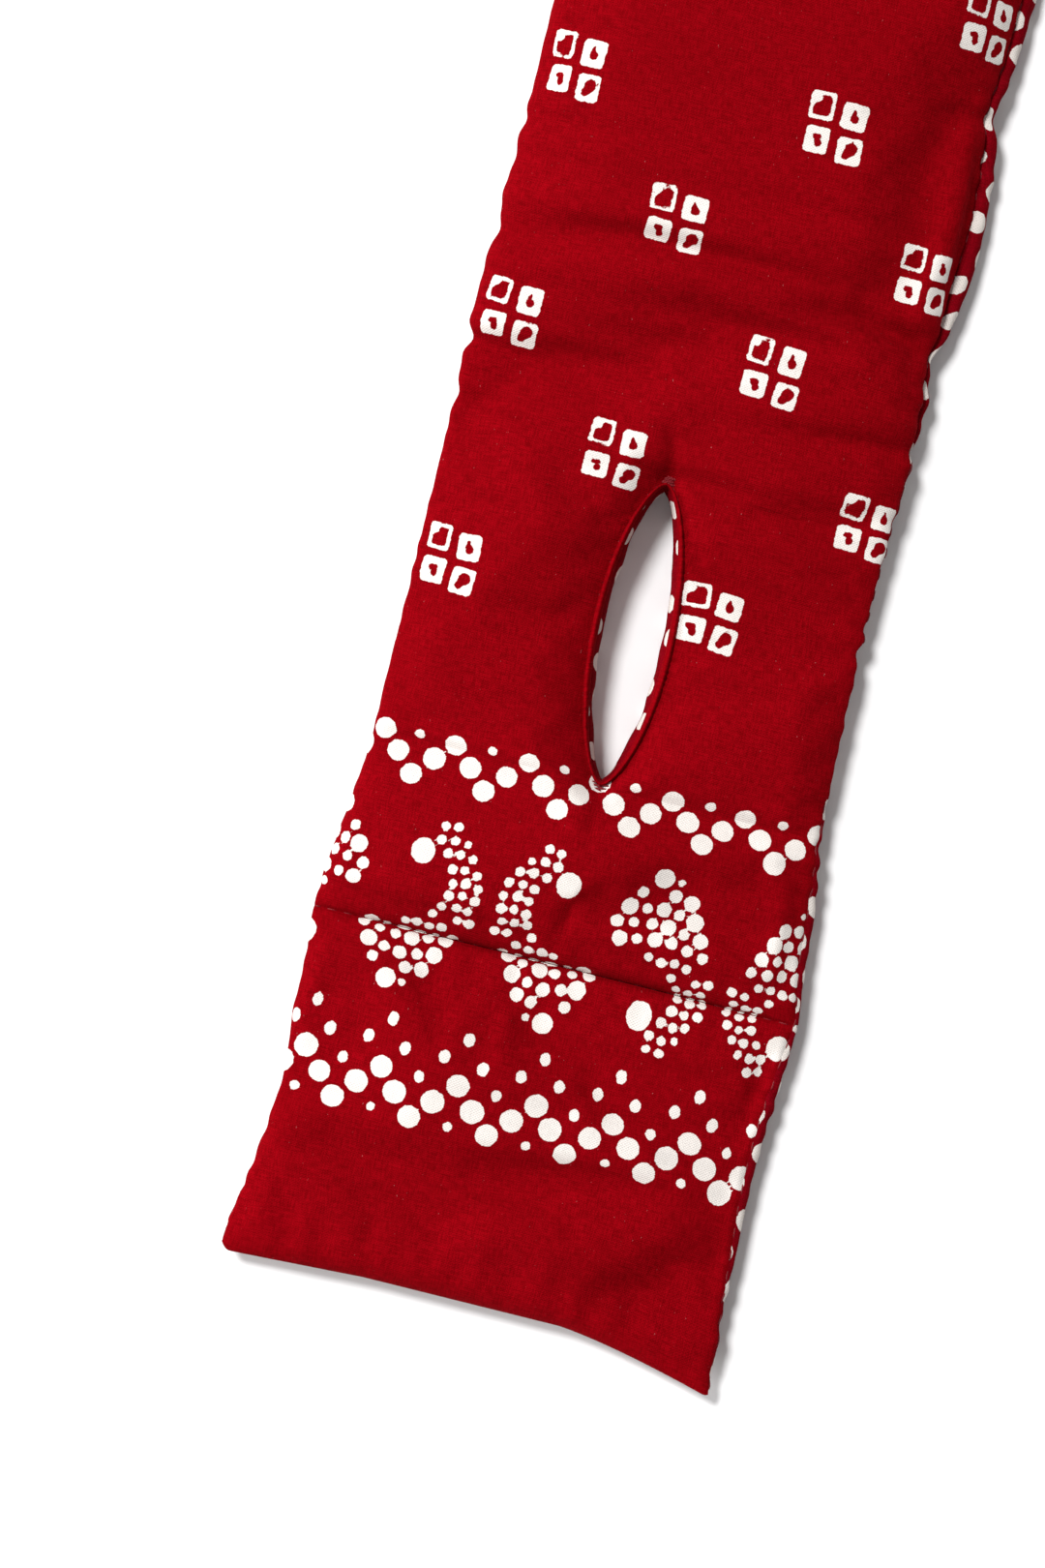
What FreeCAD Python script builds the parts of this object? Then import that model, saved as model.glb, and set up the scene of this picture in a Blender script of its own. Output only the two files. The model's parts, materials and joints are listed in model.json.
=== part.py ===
"""Padded cotton strip with a pull-through slit.

A long oven cloth: two lengths of cotton sewn face to face round the edge, turned right side out,
filled with wadding and quilted across near each end.  A lens-shaped slit near one end lets the other
end be pulled through.  X runs across the strip, Y along it with the slit towards -Y, and Z up; the
strip lies flat on Z = 0.  It folds at the two quilting lines, and three more hinges stand for the
soft bending of its padded middle, so the covers and wadding are cut at those hinges.
"""
import FreeCAD, Part
import math
import os

document = FreeCAD.newDocument("padded_strip")

# ---- driving dimensions, in millimetres and degrees ------------------------------------------

SIZES = (
    ("strip_length", 840.0, "overall length, end seam to end seam"),
    ("half_width", 64.0, "half of the puffed width"),
    ("ear_flare", 6.0, "how far each corner stands out sideways"),
    ("end_curve", 6.0, "how far the end edge is hollowed between its corners"),
    ("pad_thickness", 20.0, "thickness over the wadding"),
    ("seam_height", 8.0, "height of the seam where the two cloths meet"),
    ("cloth", 0.8, "thickness of a cloth with its turned-in allowance"),
    ("seam_turning", 4.0, "seam allowance inside the edge"),
    ("rim_flat", 0.4, "width taken off the rounded edge where the seam lies"),
    ("end_chamber", 99.0, "end seam to quilting line"),
    ("quilt_slope", 35.0, "slope of the padding beside a quilting line"),
    ("end_slope", 35.0, "slope of the padding beside an end seam"),
    ("bend_slope", 60.0, "slope of the notch faces at a bend of the middle"),
    ("hinge_gap", 0.3, "clearance each side of a hinge line"),
    ("wadding_gap", 1.0, "wadding to the foot of a slope"),
    ("band_margin", 0.8, "flat cloth between the quilting thread and the slope"),
    ("slit_from_quilting", 52.0, "quilting line to the near tip of the slit"),
    ("slit_long", 80.0, "slit, tip to tip"),
    ("slit_open", 18.0, "slit, width of the opening"),
    ("slit_to_bend", 169.0, "far tip of the slit to the first bend"),
    ("lip_width", 2.5, "rolled front hem round the slit"),
    ("lip_height", 2.5, "depth of the rolled front hem"),
    ("hem_wall", 1.0, "back cloth turned up round the slit"),
    ("thread", 0.5, "thickness of the sewing thread"),
    ("edge_stitch", 3.0, "length of an edge stitch"),
    ("edge_pitch", 6.0, "edge stitch to edge stitch"),
    ("quilt_stitch", 3.0, "length of a quilting stitch"),
    ("quilt_pitch", 4.5, "quilting stitch to quilting stitch"),
    ("slit_stitch", 2.2, "length of a stitch round the slit"),
    ("slit_pitch", 3.2, "stitch to stitch round the slit"),
    ("tack_long", 6.0, "length of the bar tack threads"),
    ("tack_pitch", 0.9, "bar tack thread to thread"),
    ("closing_width", 70.0, "turning gap sewn up by hand at the far end"),
    ("closing_pitch", 5.0, "hand stitch to hand stitch"),
)
NEAR_TACK_THREADS = 5
FAR_TACK_THREADS = 3

sheet = document.addObject("Spreadsheet::Sheet", "sizes")
for row, (alias, value, meaning) in enumerate(SIZES, start=1):
    sheet.set("A%d" % row, meaning)
    sheet.set("B%d" % row, str(value))
    sheet.setAlias("B%d" % row, alias)
document.recompute()


def size(alias):
    """Return one driving dimension as a number, for the parts that are made from loops."""
    return float(getattr(sheet, alias))


# ---- places along the strip, as expressions of the driving dimensions ------------------------

TOP = "sizes.pad_thickness"
SEAM = "sizes.seam_height"
RISE = "(sizes.pad_thickness - sizes.seam_height)"
CLOTH = "sizes.cloth"
HALF = "sizes.half_width"
EAR = "(sizes.half_width + sizes.ear_flare)"
END_Y = "(-sizes.strip_length / 2)"
HOLLOW_Y = "(%s + sizes.end_curve)" % END_Y
QUILT_Y = "(%s + sizes.end_chamber)" % END_Y
SLIT_Y = "(%s + sizes.slit_from_quilting + sizes.slit_long / 2)" % QUILT_Y
FIRST_BEND = "(%s + sizes.slit_long / 2 + sizes.slit_to_bend)" % SLIT_Y
FAR_QUILT = "(-%s)" % QUILT_Y
BEND_STEP = "((%s - %s) / 3)" % (FAR_QUILT, FIRST_BEND)
SECOND_BEND = "(%s + %s)" % (FIRST_BEND, BEND_STEP)
THIRD_BEND = "(%s + 2 * %s)" % (FIRST_BEND, BEND_STEP)

# Distances from a quilting line: the blunt start of the stitched band, the thread and the slope.
BAND_START = "(sizes.hinge_gap + sizes.cloth / tan(sizes.quilt_slope))"
THREAD_OUT = ("(2 * sizes.hinge_gap + (sizes.cloth + sizes.thread) / tan(sizes.quilt_slope)"
              " + sizes.thread / 2)")
BAND_END = "(%s + sizes.thread / 2 + sizes.band_margin)" % THREAD_OUT
QUILT_RUN = "((%s - %s) / tan(sizes.quilt_slope))" % (RISE, CLOTH)
END_RUN = "((%s - %s) / tan(sizes.end_slope))" % (RISE, CLOTH)
NOTCH_START = "(sizes.hinge_gap + sizes.cloth / tan(sizes.bend_slope))"
NOTCH_END = "(sizes.hinge_gap + %s / tan(sizes.bend_slope))" % RISE

# The slit is a lens between two arcs; this is their radius and how far their centres stand out.
ARC_RADIUS = "((sizes.slit_long ^ 2 + sizes.slit_open ^ 2) / (4 * sizes.slit_open))"
ARC_OUT = "(%s - sizes.slit_open / 2)" % ARC_RADIUS
# The end edge is hollowed by one large arc through both corners.
END_RADIUS = "((%s ^ 2 + sizes.end_curve ^ 2) / (2 * sizes.end_curve))" % EAR


def value_of(expression):
    """Return the number that an expression of the driving dimensions gives now."""
    result = sheet.evalExpression(expression)
    return float(getattr(result, "Value", result))


# ---- building blocks -------------------------------------------------------------------------

def bind(thing, **expressions):
    for name, expression in expressions.items():
        thing.setExpression(name, expression)
    return thing


def place(thing, x="0", y="0", z="0"):
    thing.setExpression("Placement.Base.x", x)
    thing.setExpression("Placement.Base.y", y)
    thing.setExpression("Placement.Base.z", z)
    return thing


def common(name, *shapes):
    result = document.addObject("Part::MultiCommon", name)
    result.Shapes = list(shapes)
    return result


def fuse(name, *shapes):
    result = document.addObject("Part::MultiFuse", name)
    result.Shapes = list(shapes)
    result.Refine = True
    return result


def cut(name, base, tool):
    result = document.addObject("Part::Cut", name)
    result.Base = base
    result.Tool = tool
    return result


def profile(name, stations, near_half=HALF, far_half=HALF):
    """Join wedges through stations along Y, each a place with its low and high Z."""
    wedges = []
    for index, (start, stop) in enumerate(zip(stations, stations[1:])):
        wedge = document.addObject("Part::Wedge", "%s_%d" % (name, index))
        bind(wedge, Ymin=start[0], Zmin=start[1], Zmax=start[2],
             Ymax=stop[0], Z2min=stop[1], Z2max=stop[2],
             Xmin="-" + near_half, Xmax=near_half, X2min="-" + far_half, X2max=far_half)
        wedges.append(wedge)
    return wedges[0] if len(wedges) == 1 else fuse(name, *wedges)


def tube(name, half, rise, start, stop):
    """Extrude the elliptical section of the strip along Y."""
    section = document.addObject("Part::Ellipse", name + "_section")
    section.Placement.Rotation = FreeCAD.Rotation(FreeCAD.Vector(1, 0, 0), 90)
    place(section, y=start, z=SEAM)
    bind(section, MajorRadius=half, MinorRadius=rise)
    result = document.addObject("Part::Extrusion", name)
    result.Base = section
    result.DirMode = "Custom"
    result.Dir = FreeCAD.Vector(0, 1, 0)
    result.Solid = True
    return bind(result, LengthFwd="%s - %s" % (stop, start))


def flared_tube(name, far_half, near_half, rise):
    """Loft the section from the quilting line out to the wider end."""
    sections = []
    for place_y, half in ((QUILT_Y, far_half), (END_Y, near_half)):
        section = document.addObject("Part::Ellipse", "%s_section_%d" % (name, len(sections)))
        section.Placement.Rotation = FreeCAD.Rotation(FreeCAD.Vector(1, 0, 0), 90)
        place(section, y=place_y, z=SEAM)
        bind(section, MajorRadius=half, MinorRadius=rise)
        sections.append(section)
    result = document.addObject("Part::Loft", name)
    result.Sections = sections
    result.Solid = True
    result.Ruled = True
    return result


def lens(name, offset, low, high):
    """Make the slit's lens as an upright prism, grown outwards by an offset."""
    drums = []
    for side in ("-", ""):
        drum = document.addObject("Part::Cylinder", "%s_%s" % (name, "left" if side else "right"))
        place(drum, side + ARC_OUT, SLIT_Y, low)
        bind(drum, Radius="%s + %s" % (ARC_RADIUS, offset), Height="%s - %s" % (high, low))
        drums.append(drum)
    return common(name, *drums)


def bars(label, rows):
    """Make a group of straight thread pieces: each a start, an end, an out direction and a size.

    A bar lies along the line from start to end, resting against it on the out side.
    """
    solids = []
    for start, end, outward, width, height in rows:
        along = end.sub(start)
        bar = Part.makeBox(along.Length, width, height, FreeCAD.Vector(0, -width / 2, 0))
        rotation = FreeCAD.Rotation(along, outward.cross(along), outward, "XZY")
        bar.Placement = FreeCAD.Placement(start, rotation).multiply(bar.Placement)
        solids.append(bar)
    feature = document.addObject("Part::Feature", label)
    feature.Shape = Part.makeCompound(solids)
    feature.Placement = FreeCAD.Placement()
    return feature


def dashes(start, end, stitch, pitch):
    """Divide a straight line into centred stitches; return their ends."""
    along = end.sub(start)
    count = int((along.Length - stitch) // pitch) + 1
    margin = (along.Length - stitch - (count - 1) * pitch) / 2
    along.normalize()
    result = []
    for index in range(count):
        first = start.add(along * (margin + index * pitch))
        result.append((first, first.add(along * stitch)))
    return result


nodes = {}


def node(name, thing):
    """Name a sub-part, so that it is checked and written out."""
    thing.Label = name
    nodes[name] = thing
    return thing


# ---- shared solids: the strip's section, its rim and the two halves --------------------------

INNER_HALF = "(sizes.half_width - sizes.seam_turning)"
INNER_RISE = "(%s - %s)" % (RISE, CLOTH)
RIM = "(sizes.half_width - sizes.rim_flat)"
RIM_EAR = "(%s - sizes.rim_flat)" % EAR

outer_tube = tube("outer_tube", HALF, RISE, QUILT_Y, FAR_QUILT)
inner_tube = tube("inner_tube", INNER_HALF, INNER_RISE, QUILT_Y, FAR_QUILT)
rim = profile("rim", [(QUILT_Y, "0", TOP), (FAR_QUILT, "0", TOP)], RIM, RIM)
upper_half = profile("upper_half", [(END_Y, SEAM, TOP), ("-" + END_Y, SEAM, TOP)], EAR, EAR)
lower_half = profile("lower_half", [(END_Y, "0", SEAM), ("-" + END_Y, "0", SEAM)], EAR, EAR)

THIN = ("%s - %s" % (SEAM, CLOTH), "%s + %s" % (SEAM, CLOTH))
FULL = ("0", TOP)
INSIDE = (CLOTH, "%s - %s" % (TOP, CLOTH))


def part_way(distance, run):
    """Height of the wadding a distance up a slope, one cloth inside the outer surface."""
    share = "(%s / %s)" % (distance, run)
    low = "%s - (%s - %s) * %s" % (SEAM, SEAM, CLOTH, share)
    high = "%s + (%s - %s) * %s" % (SEAM, RISE, CLOTH, share)
    return low, high


def quilted_side(line, way):
    """Stations of the outer and inner solids from a quilting line, going way (+ or -)."""
    outer = [("%s %s %s" % (line, way, BAND_START),) + THIN,
             ("%s %s %s" % (line, way, BAND_END),) + THIN,
             ("%s %s (%s + %s)" % (line, way, BAND_END, QUILT_RUN),) + FULL]
    inner = [("%s %s (%s + sizes.wadding_gap)" % (line, way, BAND_END),)
             + part_way("sizes.wadding_gap", QUILT_RUN),
             ("%s %s (%s + %s)" % (line, way, BAND_END, QUILT_RUN),) + INSIDE]
    return outer, inner


def notched_side(line, way):
    """Stations from a bend of the middle: the wadding runs out to the notch face."""
    outer = [("%s %s %s" % (line, way, NOTCH_START),) + THIN,
             ("%s %s %s" % (line, way, NOTCH_END),) + FULL]
    inner = [("%s" % line,) + INSIDE]
    return outer, inner


def end_side():
    """Stations from the near end seam: flat corners, then the slope up to full thickness."""
    outer = [(END_Y,) + THIN,
             (HOLLOW_Y,) + THIN,
             ("%s + %s" % (HOLLOW_Y, END_RUN),) + FULL]
    inner = [("%s + sizes.seam_turning" % HOLLOW_Y,)
             + part_way("sizes.seam_turning", END_RUN),
             ("%s + %s" % (HOLLOW_Y, END_RUN),) + INSIDE]
    return outer, inner


def covers_and_wadding(body, near_side, far_side, outer_shape, inner_shape, rim_shape, half):
    """Make a body's front cover, back cover and wadding from its stations; return all three."""
    outer_stations = near_side[0] + far_side[0][::-1]
    inner_stations = near_side[1] + far_side[1][::-1]
    outer_profile = profile(body + "_outer_profile", outer_stations, half, half)
    inner_profile = profile(body + "_inner_profile", inner_stations, half, half)
    outer = common(body + "_outer", outer_shape, rim_shape, outer_profile)
    wadding = common(body + "_filling", inner_shape, inner_profile, outer_profile)
    shell = cut(body + "_shell", outer, wadding)
    front = common(body + "_front", shell, upper_half)
    back = common(body + "_back", shell, lower_half)
    return front, back, wadding


# ---- the padded middle: slit panel, two middle panels and far panel --------------------------

slit_front, slit_back, slit_wadding = covers_and_wadding(
    "slit_panel", quilted_side(QUILT_Y, "+"), notched_side(FIRST_BEND, "-"),
    outer_tube, inner_tube, rim, HALF)

PLAIN_PANELS = (
    ("near_middle", notched_side(FIRST_BEND, "+"), notched_side(SECOND_BEND, "-")),
    ("far_middle", notched_side(SECOND_BEND, "+"), notched_side(THIRD_BEND, "-")),
    ("far_panel", notched_side(THIRD_BEND, "+"), quilted_side(FAR_QUILT, "-")),
)
for body, near_side, far_side in PLAIN_PANELS:
    front, back, wadding = covers_and_wadding(
        body, near_side, far_side, outer_tube, inner_tube, rim, HALF)
    node(body + "_front_cover", front)
    node(body + "_back_cover", back)
    node(body + "_wadding", wadding)

# ---- the slit: covers cut back to the hems that line it --------------------------------------

LIP_LOW = "(%s - sizes.lip_height)" % TOP
slit_hole = lens("slit_hole", "0", "0", TOP)
wall_hole = lens("wall_hole", "sizes.hem_wall", "0", LIP_LOW)
through_wall = lens("through_wall", "sizes.hem_wall", "0", TOP)
lip_hole = lens("lip_hole", "sizes.lip_width", LIP_LOW, TOP)

node("slit_panel_front_cover", cut("front_round_slit", slit_front, lip_hole))
node("slit_panel_back_cover", cut("back_round_slit", slit_back, through_wall))
holed_wadding = cut("wadding_round_wall", slit_wadding, through_wall)
node("slit_panel_wadding", cut("wadding_round_lip", holed_wadding, lip_hole))
node("slit_front_hem", cut("lip_ring", lip_hole, slit_hole))
node("slit_back_hem", cut("wall_ring", wall_hole, slit_hole))

# ---- the end chambers: near one built, far one its mirror image ------------------------------

near_outer = flared_tube("near_outer_tube", HALF, EAR, RISE)
near_inner = flared_tube("near_inner_tube", INNER_HALF, "(%s - sizes.seam_turning)" % EAR,
                         INNER_RISE)
near_rim_flare = profile("near_rim_flare", [(END_Y, "0", TOP), (QUILT_Y, "0", TOP)], RIM_EAR, RIM)
end_arc = document.addObject("Part::Cylinder", "end_arc")
place(end_arc, "0", "%s - %s" % (HOLLOW_Y, END_RADIUS), "0")
bind(end_arc, Radius=END_RADIUS, Height=TOP)
near_rim = cut("near_rim", near_rim_flare, end_arc)
near_pieces = covers_and_wadding("near_end", end_side(), quilted_side(QUILT_Y, "-"),
                                 near_outer, near_inner, near_rim, EAR)
for piece, suffix in zip(near_pieces, ("_front_cover", "_back_cover", "_wadding")):
    node("near_end" + suffix, piece)
    mirror = document.addObject("Part::Mirroring", "far_end_mirror" + suffix)
    mirror.Source = piece
    mirror.Normal = FreeCAD.Vector(0, 1, 0)
    node("far_end" + suffix, mirror)

# ---- thread: quilting lines, edge seams, slit stitching, tacks and the hand-sewn closing -----

thread = size("thread")
seam_z = size("seam_height")
cloth = size("cloth")
rim_x = value_of(RIM)
quilt_y = value_of(QUILT_Y)
far_quilt_y = value_of(FAR_QUILT)
bends_y = [value_of(expression) for expression in (FIRST_BEND, SECOND_BEND, THIRD_BEND)]
band_end = value_of(BAND_END)
notch_end = value_of(NOTCH_END)
UP = FreeCAD.Vector(0, 0, 1)
DOWN = FreeCAD.Vector(0, 0, -1)


def quilting_thread(name, y):
    """Lock stitches across the strip, seen on both faces of the stitched band."""
    rows = []
    reach = rim_x - size("seam_turning")
    for outward in (UP, DOWN):
        level = seam_z + outward.z * cloth
        left = FreeCAD.Vector(-reach, y, level)
        right = FreeCAD.Vector(reach, y, level)
        for start, end in dashes(left, right, size("quilt_stitch"), size("quilt_pitch")):
            rows.append((start, end, outward, thread, thread))
    node(name, bars(name, rows))


quilting_thread("near_quilting_thread", quilt_y + value_of(THREAD_OUT))
quilting_thread("far_quilting_thread", far_quilt_y - value_of(THREAD_OUT))


def side_rows(near_x, near_y, far_x, far_y):
    """Edge stitches along both long sides, between two places along the strip."""
    rows = []
    for side in (-1, 1):
        start = FreeCAD.Vector(side * near_x, near_y, seam_z)
        end = FreeCAD.Vector(side * far_x, far_y, seam_z)
        outward = end.sub(start).cross(UP) * side
        outward.normalize()
        for first, last in dashes(start, end, size("edge_stitch"), size("edge_pitch")):
            rows.append((first, last, outward, thread, thread))
    return rows


EDGES = (
    ("slit_panel", quilt_y + band_end, bends_y[0] - notch_end),
    ("near_middle", bends_y[0] + notch_end, bends_y[1] - notch_end),
    ("far_middle", bends_y[1] + notch_end, bends_y[2] - notch_end),
    ("far_panel", bends_y[2] + notch_end, far_quilt_y - band_end),
)
for body, near_y, far_y in EDGES:
    name = body + "_edge_thread"
    node(name, bars(name, side_rows(rim_x, near_y, rim_x, far_y)))


def end_arc_rows(way, stitch, pitch, from_x):
    """Stitches along the hollowed end seam as chords of its arc, from from_x out to the corners."""
    radius = value_of(END_RADIUS)
    hollow_y = value_of(HOLLOW_Y)
    reach = value_of(RIM_EAR) - size("seam_turning")
    rows = []
    count = int((reach - from_x) // pitch)
    for side in (-1, 1):
        for index in range(count):
            ends = []
            for x in (from_x + index * pitch, from_x + index * pitch + stitch):
                sink = radius - math.sqrt(radius ** 2 - x ** 2)
                ends.append(FreeCAD.Vector(side * x, way * (hollow_y - sink), seam_z))
            outward = ends[1].sub(ends[0]).cross(UP) * (way * side)
            outward.normalize()
            rows.append((ends[0], ends[1], outward, thread, thread))
    return rows


def end_thread(name, way, from_x):
    """Edge thread of an end chamber: both flared sides and the end, way -1 near or 1 far."""
    flare_share = band_end / size("end_chamber")
    start_x = rim_x + flare_share * size("ear_flare")
    corner_share = 1 - size("seam_turning") / size("end_chamber")
    corner_x = rim_x + corner_share * size("ear_flare")
    start_y = quilt_y - band_end
    corner_y = value_of(END_Y) + size("seam_turning")
    rows = side_rows(corner_x, corner_y, start_x, start_y)
    if way > 0:
        rows = side_rows(start_x, -start_y, corner_x, -corner_y)
    rows += end_arc_rows(-way, size("edge_stitch"), size("edge_pitch"), from_x)
    node(name, bars(name, rows))


half_pitch = size("edge_pitch") / 2
end_thread("near_end_edge_thread", -1, half_pitch)
end_thread("far_end_edge_thread", 1, size("closing_width") / 2 + half_pitch)


def closing_stitches(name):
    """Hand stitches over the far end seam, from the back cloth up to the front one."""
    radius = value_of(END_RADIUS)
    edge_y = -value_of(HOLLOW_Y)
    count = int(size("closing_width") // size("closing_pitch"))
    rows = []
    for index in range(count):
        x = (index - (count - 1) / 2) * size("closing_pitch")
        depth = math.sqrt(radius ** 2 - x ** 2)
        y = edge_y + radius - depth
        low = FreeCAD.Vector(x, y, seam_z - cloth)
        high = FreeCAD.Vector(x, y, seam_z + cloth)
        rows.append((low, high, FreeCAD.Vector(-x, depth, 0), thread, thread))
    node(name, bars(name, rows))


closing_stitches("far_closing_stitches")


def slit_rows():
    """Stitches along both sides of the rolled hem, as chords of its middle line."""
    radius = value_of(ARC_RADIUS) + size("lip_width") / 2
    centre_out = value_of(ARC_OUT)
    centre_y = value_of(SLIT_Y)
    reach = math.asin((size("slit_long") / 2 - size("slit_pitch")) / radius)
    count = int(2 * reach * radius // size("slit_pitch"))
    rows = []
    for side in (-1, 1):
        for index in range(count):
            middle = (index - (count - 1) / 2) * size("slit_pitch") / radius
            ends = []
            for angle in (middle - size("slit_stitch") / 2 / radius,
                          middle + size("slit_stitch") / 2 / radius):
                x = side * (radius * math.cos(angle) - centre_out)
                y = centre_y + radius * math.sin(angle)
                ends.append(FreeCAD.Vector(x, y, size("pad_thickness")))
            rows.append((ends[0], ends[1], UP, thread, thread))
    return rows


node("slit_stitching", bars("slit_stitching", slit_rows()))


def tack(name, way, count):
    """A bar tack: short threads laid across the tip of the slit, going outwards."""
    tip_y = value_of(SLIT_Y) + way * size("slit_long") / 2
    half = size("tack_long") / 2
    rows = []
    for index in range(count):
        y = tip_y + way * (thread + index * size("tack_pitch"))
        start = FreeCAD.Vector(-half, y, size("pad_thickness"))
        end = FreeCAD.Vector(half, y, size("pad_thickness"))
        rows.append((start, end, UP, thread, thread))
    node(name, bars(name, rows))


tack("slit_tack_lower", -1, NEAR_TACK_THREADS)
tack("slit_tack_upper", 1, FAR_TACK_THREADS)

# ---- check every object, then write the sub-parts --------------------------------------------

document.recompute()
for thing in document.Objects:
    if "Invalid" in thing.State or "Error" in thing.State:
        raise RuntimeError("%s did not build" % thing.Name)
for name, thing in nodes.items():
    if thing.Shape.isNull() or not thing.Shape.isValid():
        raise RuntimeError("%s has no sound shape" % name)

os.makedirs("parts", exist_ok=True)
for name, thing in nodes.items():
    thing.Shape.exportStep("parts/%s.step" % name)
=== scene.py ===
"""Padded cotton oven cloth: a long quilted strip with a slit that its other end pulls through."""
import json
import math
import bpy
import numpy as np
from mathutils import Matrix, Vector


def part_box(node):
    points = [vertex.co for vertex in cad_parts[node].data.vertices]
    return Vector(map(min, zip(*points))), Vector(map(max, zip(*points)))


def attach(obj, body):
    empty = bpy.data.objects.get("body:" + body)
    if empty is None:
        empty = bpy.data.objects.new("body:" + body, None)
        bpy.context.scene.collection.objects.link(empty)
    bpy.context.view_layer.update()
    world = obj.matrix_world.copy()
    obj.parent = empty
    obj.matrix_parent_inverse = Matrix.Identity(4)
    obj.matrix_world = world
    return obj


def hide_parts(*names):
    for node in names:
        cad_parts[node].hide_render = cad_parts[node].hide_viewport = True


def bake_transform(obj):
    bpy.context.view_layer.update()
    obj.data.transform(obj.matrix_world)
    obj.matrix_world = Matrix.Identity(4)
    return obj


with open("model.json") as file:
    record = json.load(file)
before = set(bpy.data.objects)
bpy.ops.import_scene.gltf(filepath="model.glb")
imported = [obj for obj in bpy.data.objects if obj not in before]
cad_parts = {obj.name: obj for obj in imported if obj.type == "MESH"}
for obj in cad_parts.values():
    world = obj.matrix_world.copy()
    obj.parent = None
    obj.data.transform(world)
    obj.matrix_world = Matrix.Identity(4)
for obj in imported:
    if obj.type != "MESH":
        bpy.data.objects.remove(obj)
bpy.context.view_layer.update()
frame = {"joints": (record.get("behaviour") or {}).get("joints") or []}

# ---- Printed front cloth ---------------------------------------------------------------------
# A single length of red plain-weave cotton, hand printed in off-white, sewn face to face with the
# back cloth and turned right side out.  Wadding fills it; two quilting lines hold it flat.  It is
# made as five pieces, one over each joint, whose meeting edges share their points and normals.

MM = 0.001
joints = {joint["name"]: joint for joint in frame["joints"]}


def joint_y(name):
    """Place of a joint along the strip, in millimetres."""
    return joints[name]["pos_m"][1] / MM


NEAR_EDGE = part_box("near_end_front_cover")[0].y / MM
FAR_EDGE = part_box("far_end_front_cover")[1].y / MM
NEAR_QUILT = joint_y("near_end_fold")
FAR_QUILT = joint_y("far_end_fold")
BENDS = [joint_y(name) for name in ("first_bend", "second_bend", "third_bend")]
SEAM_Z = joints["near_end_fold"]["pos_m"][2] / MM
HALF_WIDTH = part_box("near_middle_front_cover")[1].x / MM
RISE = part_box("near_middle_front_cover")[1].z / MM - SEAM_Z - 2.0
DROP = SEAM_Z - 0.4
SLIT_MIDDLE = (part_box("slit_back_hem")[0].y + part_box("slit_back_hem")[1].y) / 2 / MM
SLIT_LONG = 80.0
SLIT_LOW = SLIT_MIDDLE - SLIT_LONG / 2
SLIT_HIGH = SLIT_MIDDLE + SLIT_LONG / 2
BEND_REACH = [16.0, 28.0, 28.0]     # how far it curves each side of a bend
EAR_HALF = HALF_WIDTH + 6           # half-width at the flared ends
COLUMNS = 80                        # faces across each half of a cloth
rng = np.random.default_rng(7)


def smooth_through(x, knots):
    """A Catmull-Rom curve through (place, value) knots, level past both ends."""
    place, value = np.array(knots, float).T
    slope = np.gradient(value, place)
    slope[0] = slope[-1] = 0.0
    x = np.clip(x, place[0], place[-1])
    k = np.clip(np.searchsorted(place, x, side="right") - 1, 0, len(place) - 2)
    span = place[k + 1] - place[k]
    t = (x - place[k]) / span
    return ((2 * t ** 3 - 3 * t ** 2 + 1) * value[k] + (t ** 3 - 2 * t ** 2 + t) * span * slope[k]
            + (3 * t ** 2 - 2 * t ** 3) * value[k + 1] + (t ** 3 - t ** 2) * span * slope[k + 1])


def hump(x, middle, reach):
    """A bell that is 1 at its middle and fades over its reach."""
    return np.exp(-((x - middle) / reach) ** 2)


def uneven_wave(x, wavelength, seed):
    """A wave of uneven pitch and height, as cloth puckers along a seam."""
    draw = np.random.default_rng(seed)
    total = np.zeros_like(x)
    for stretch in (0.72, 0.9, 1.0, 1.18, 1.5):
        phase = draw.uniform(0, math.tau)
        total += np.cos(math.tau * x / (wavelength * stretch) + phase) * draw.uniform(0.5, 1)
    return total / 2.2


def ripples(x, y, across, along, seed, count=14):
    """Soft creases, longer across than along: a sum of waves with random directions."""
    draw = np.random.default_rng(seed)
    total = np.zeros_like(x)
    for _ in range(count):
        kx = draw.normal(0, 1 / across)
        ky = draw.normal(0, 0.5 / along) + draw.choice((-1, 1)) / along
        total += np.cos(kx * x + ky * y + draw.uniform(0, math.tau))
    return total / math.sqrt(count)


def rows_between(stops):
    """Row places from (place, spacing) stops, evenly divided between each pair."""
    rows = []
    for (start, spacing), (end, _) in zip(stops, stops[1:]):
        count = max(1, round((end - start) / spacing))
        rows += list(np.linspace(start, end, count, endpoint=False))
    return np.array(rows + [stops[-1][0]])


FRONT_SLIT = (11.5, 2.0)            # half-opening of the front cloth, and its reach past each tip
LIP_SLIT = (9.3, 0.5)
BACK_SLIT = (9.7, 0.8)
CUTS = [BENDS[0] - BEND_REACH[0] - 1, (BENDS[0] + BENDS[1]) / 2, (BENDS[1] + BENDS[2]) / 2,
        (BENDS[2] + FAR_QUILT) / 2]
ROWS = rows_between([
    (NEAR_EDGE, 0.4), (NEAR_EDGE + 6, 0.95), (NEAR_QUILT - 8, 0.45), (NEAR_QUILT + 8, 0.95),
    (SLIT_LOW - 2.0, 0.25), (SLIT_LOW - 0.8, 0.25), (SLIT_LOW + 3, 0.85),
    (SLIT_HIGH - 3, 0.25), (SLIT_HIGH + 0.8, 0.25), (SLIT_HIGH + 2.0, 0.95),
    (CUTS[0], 1.1), (CUTS[1], 1.2), (CUTS[2], 1.2), (CUTS[3], 1.1),
    (FAR_QUILT - 8, 0.6), (FAR_QUILT + 8, 1.1), (FAR_EDGE - 6, 0.5), (FAR_EDGE, 1)])

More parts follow.
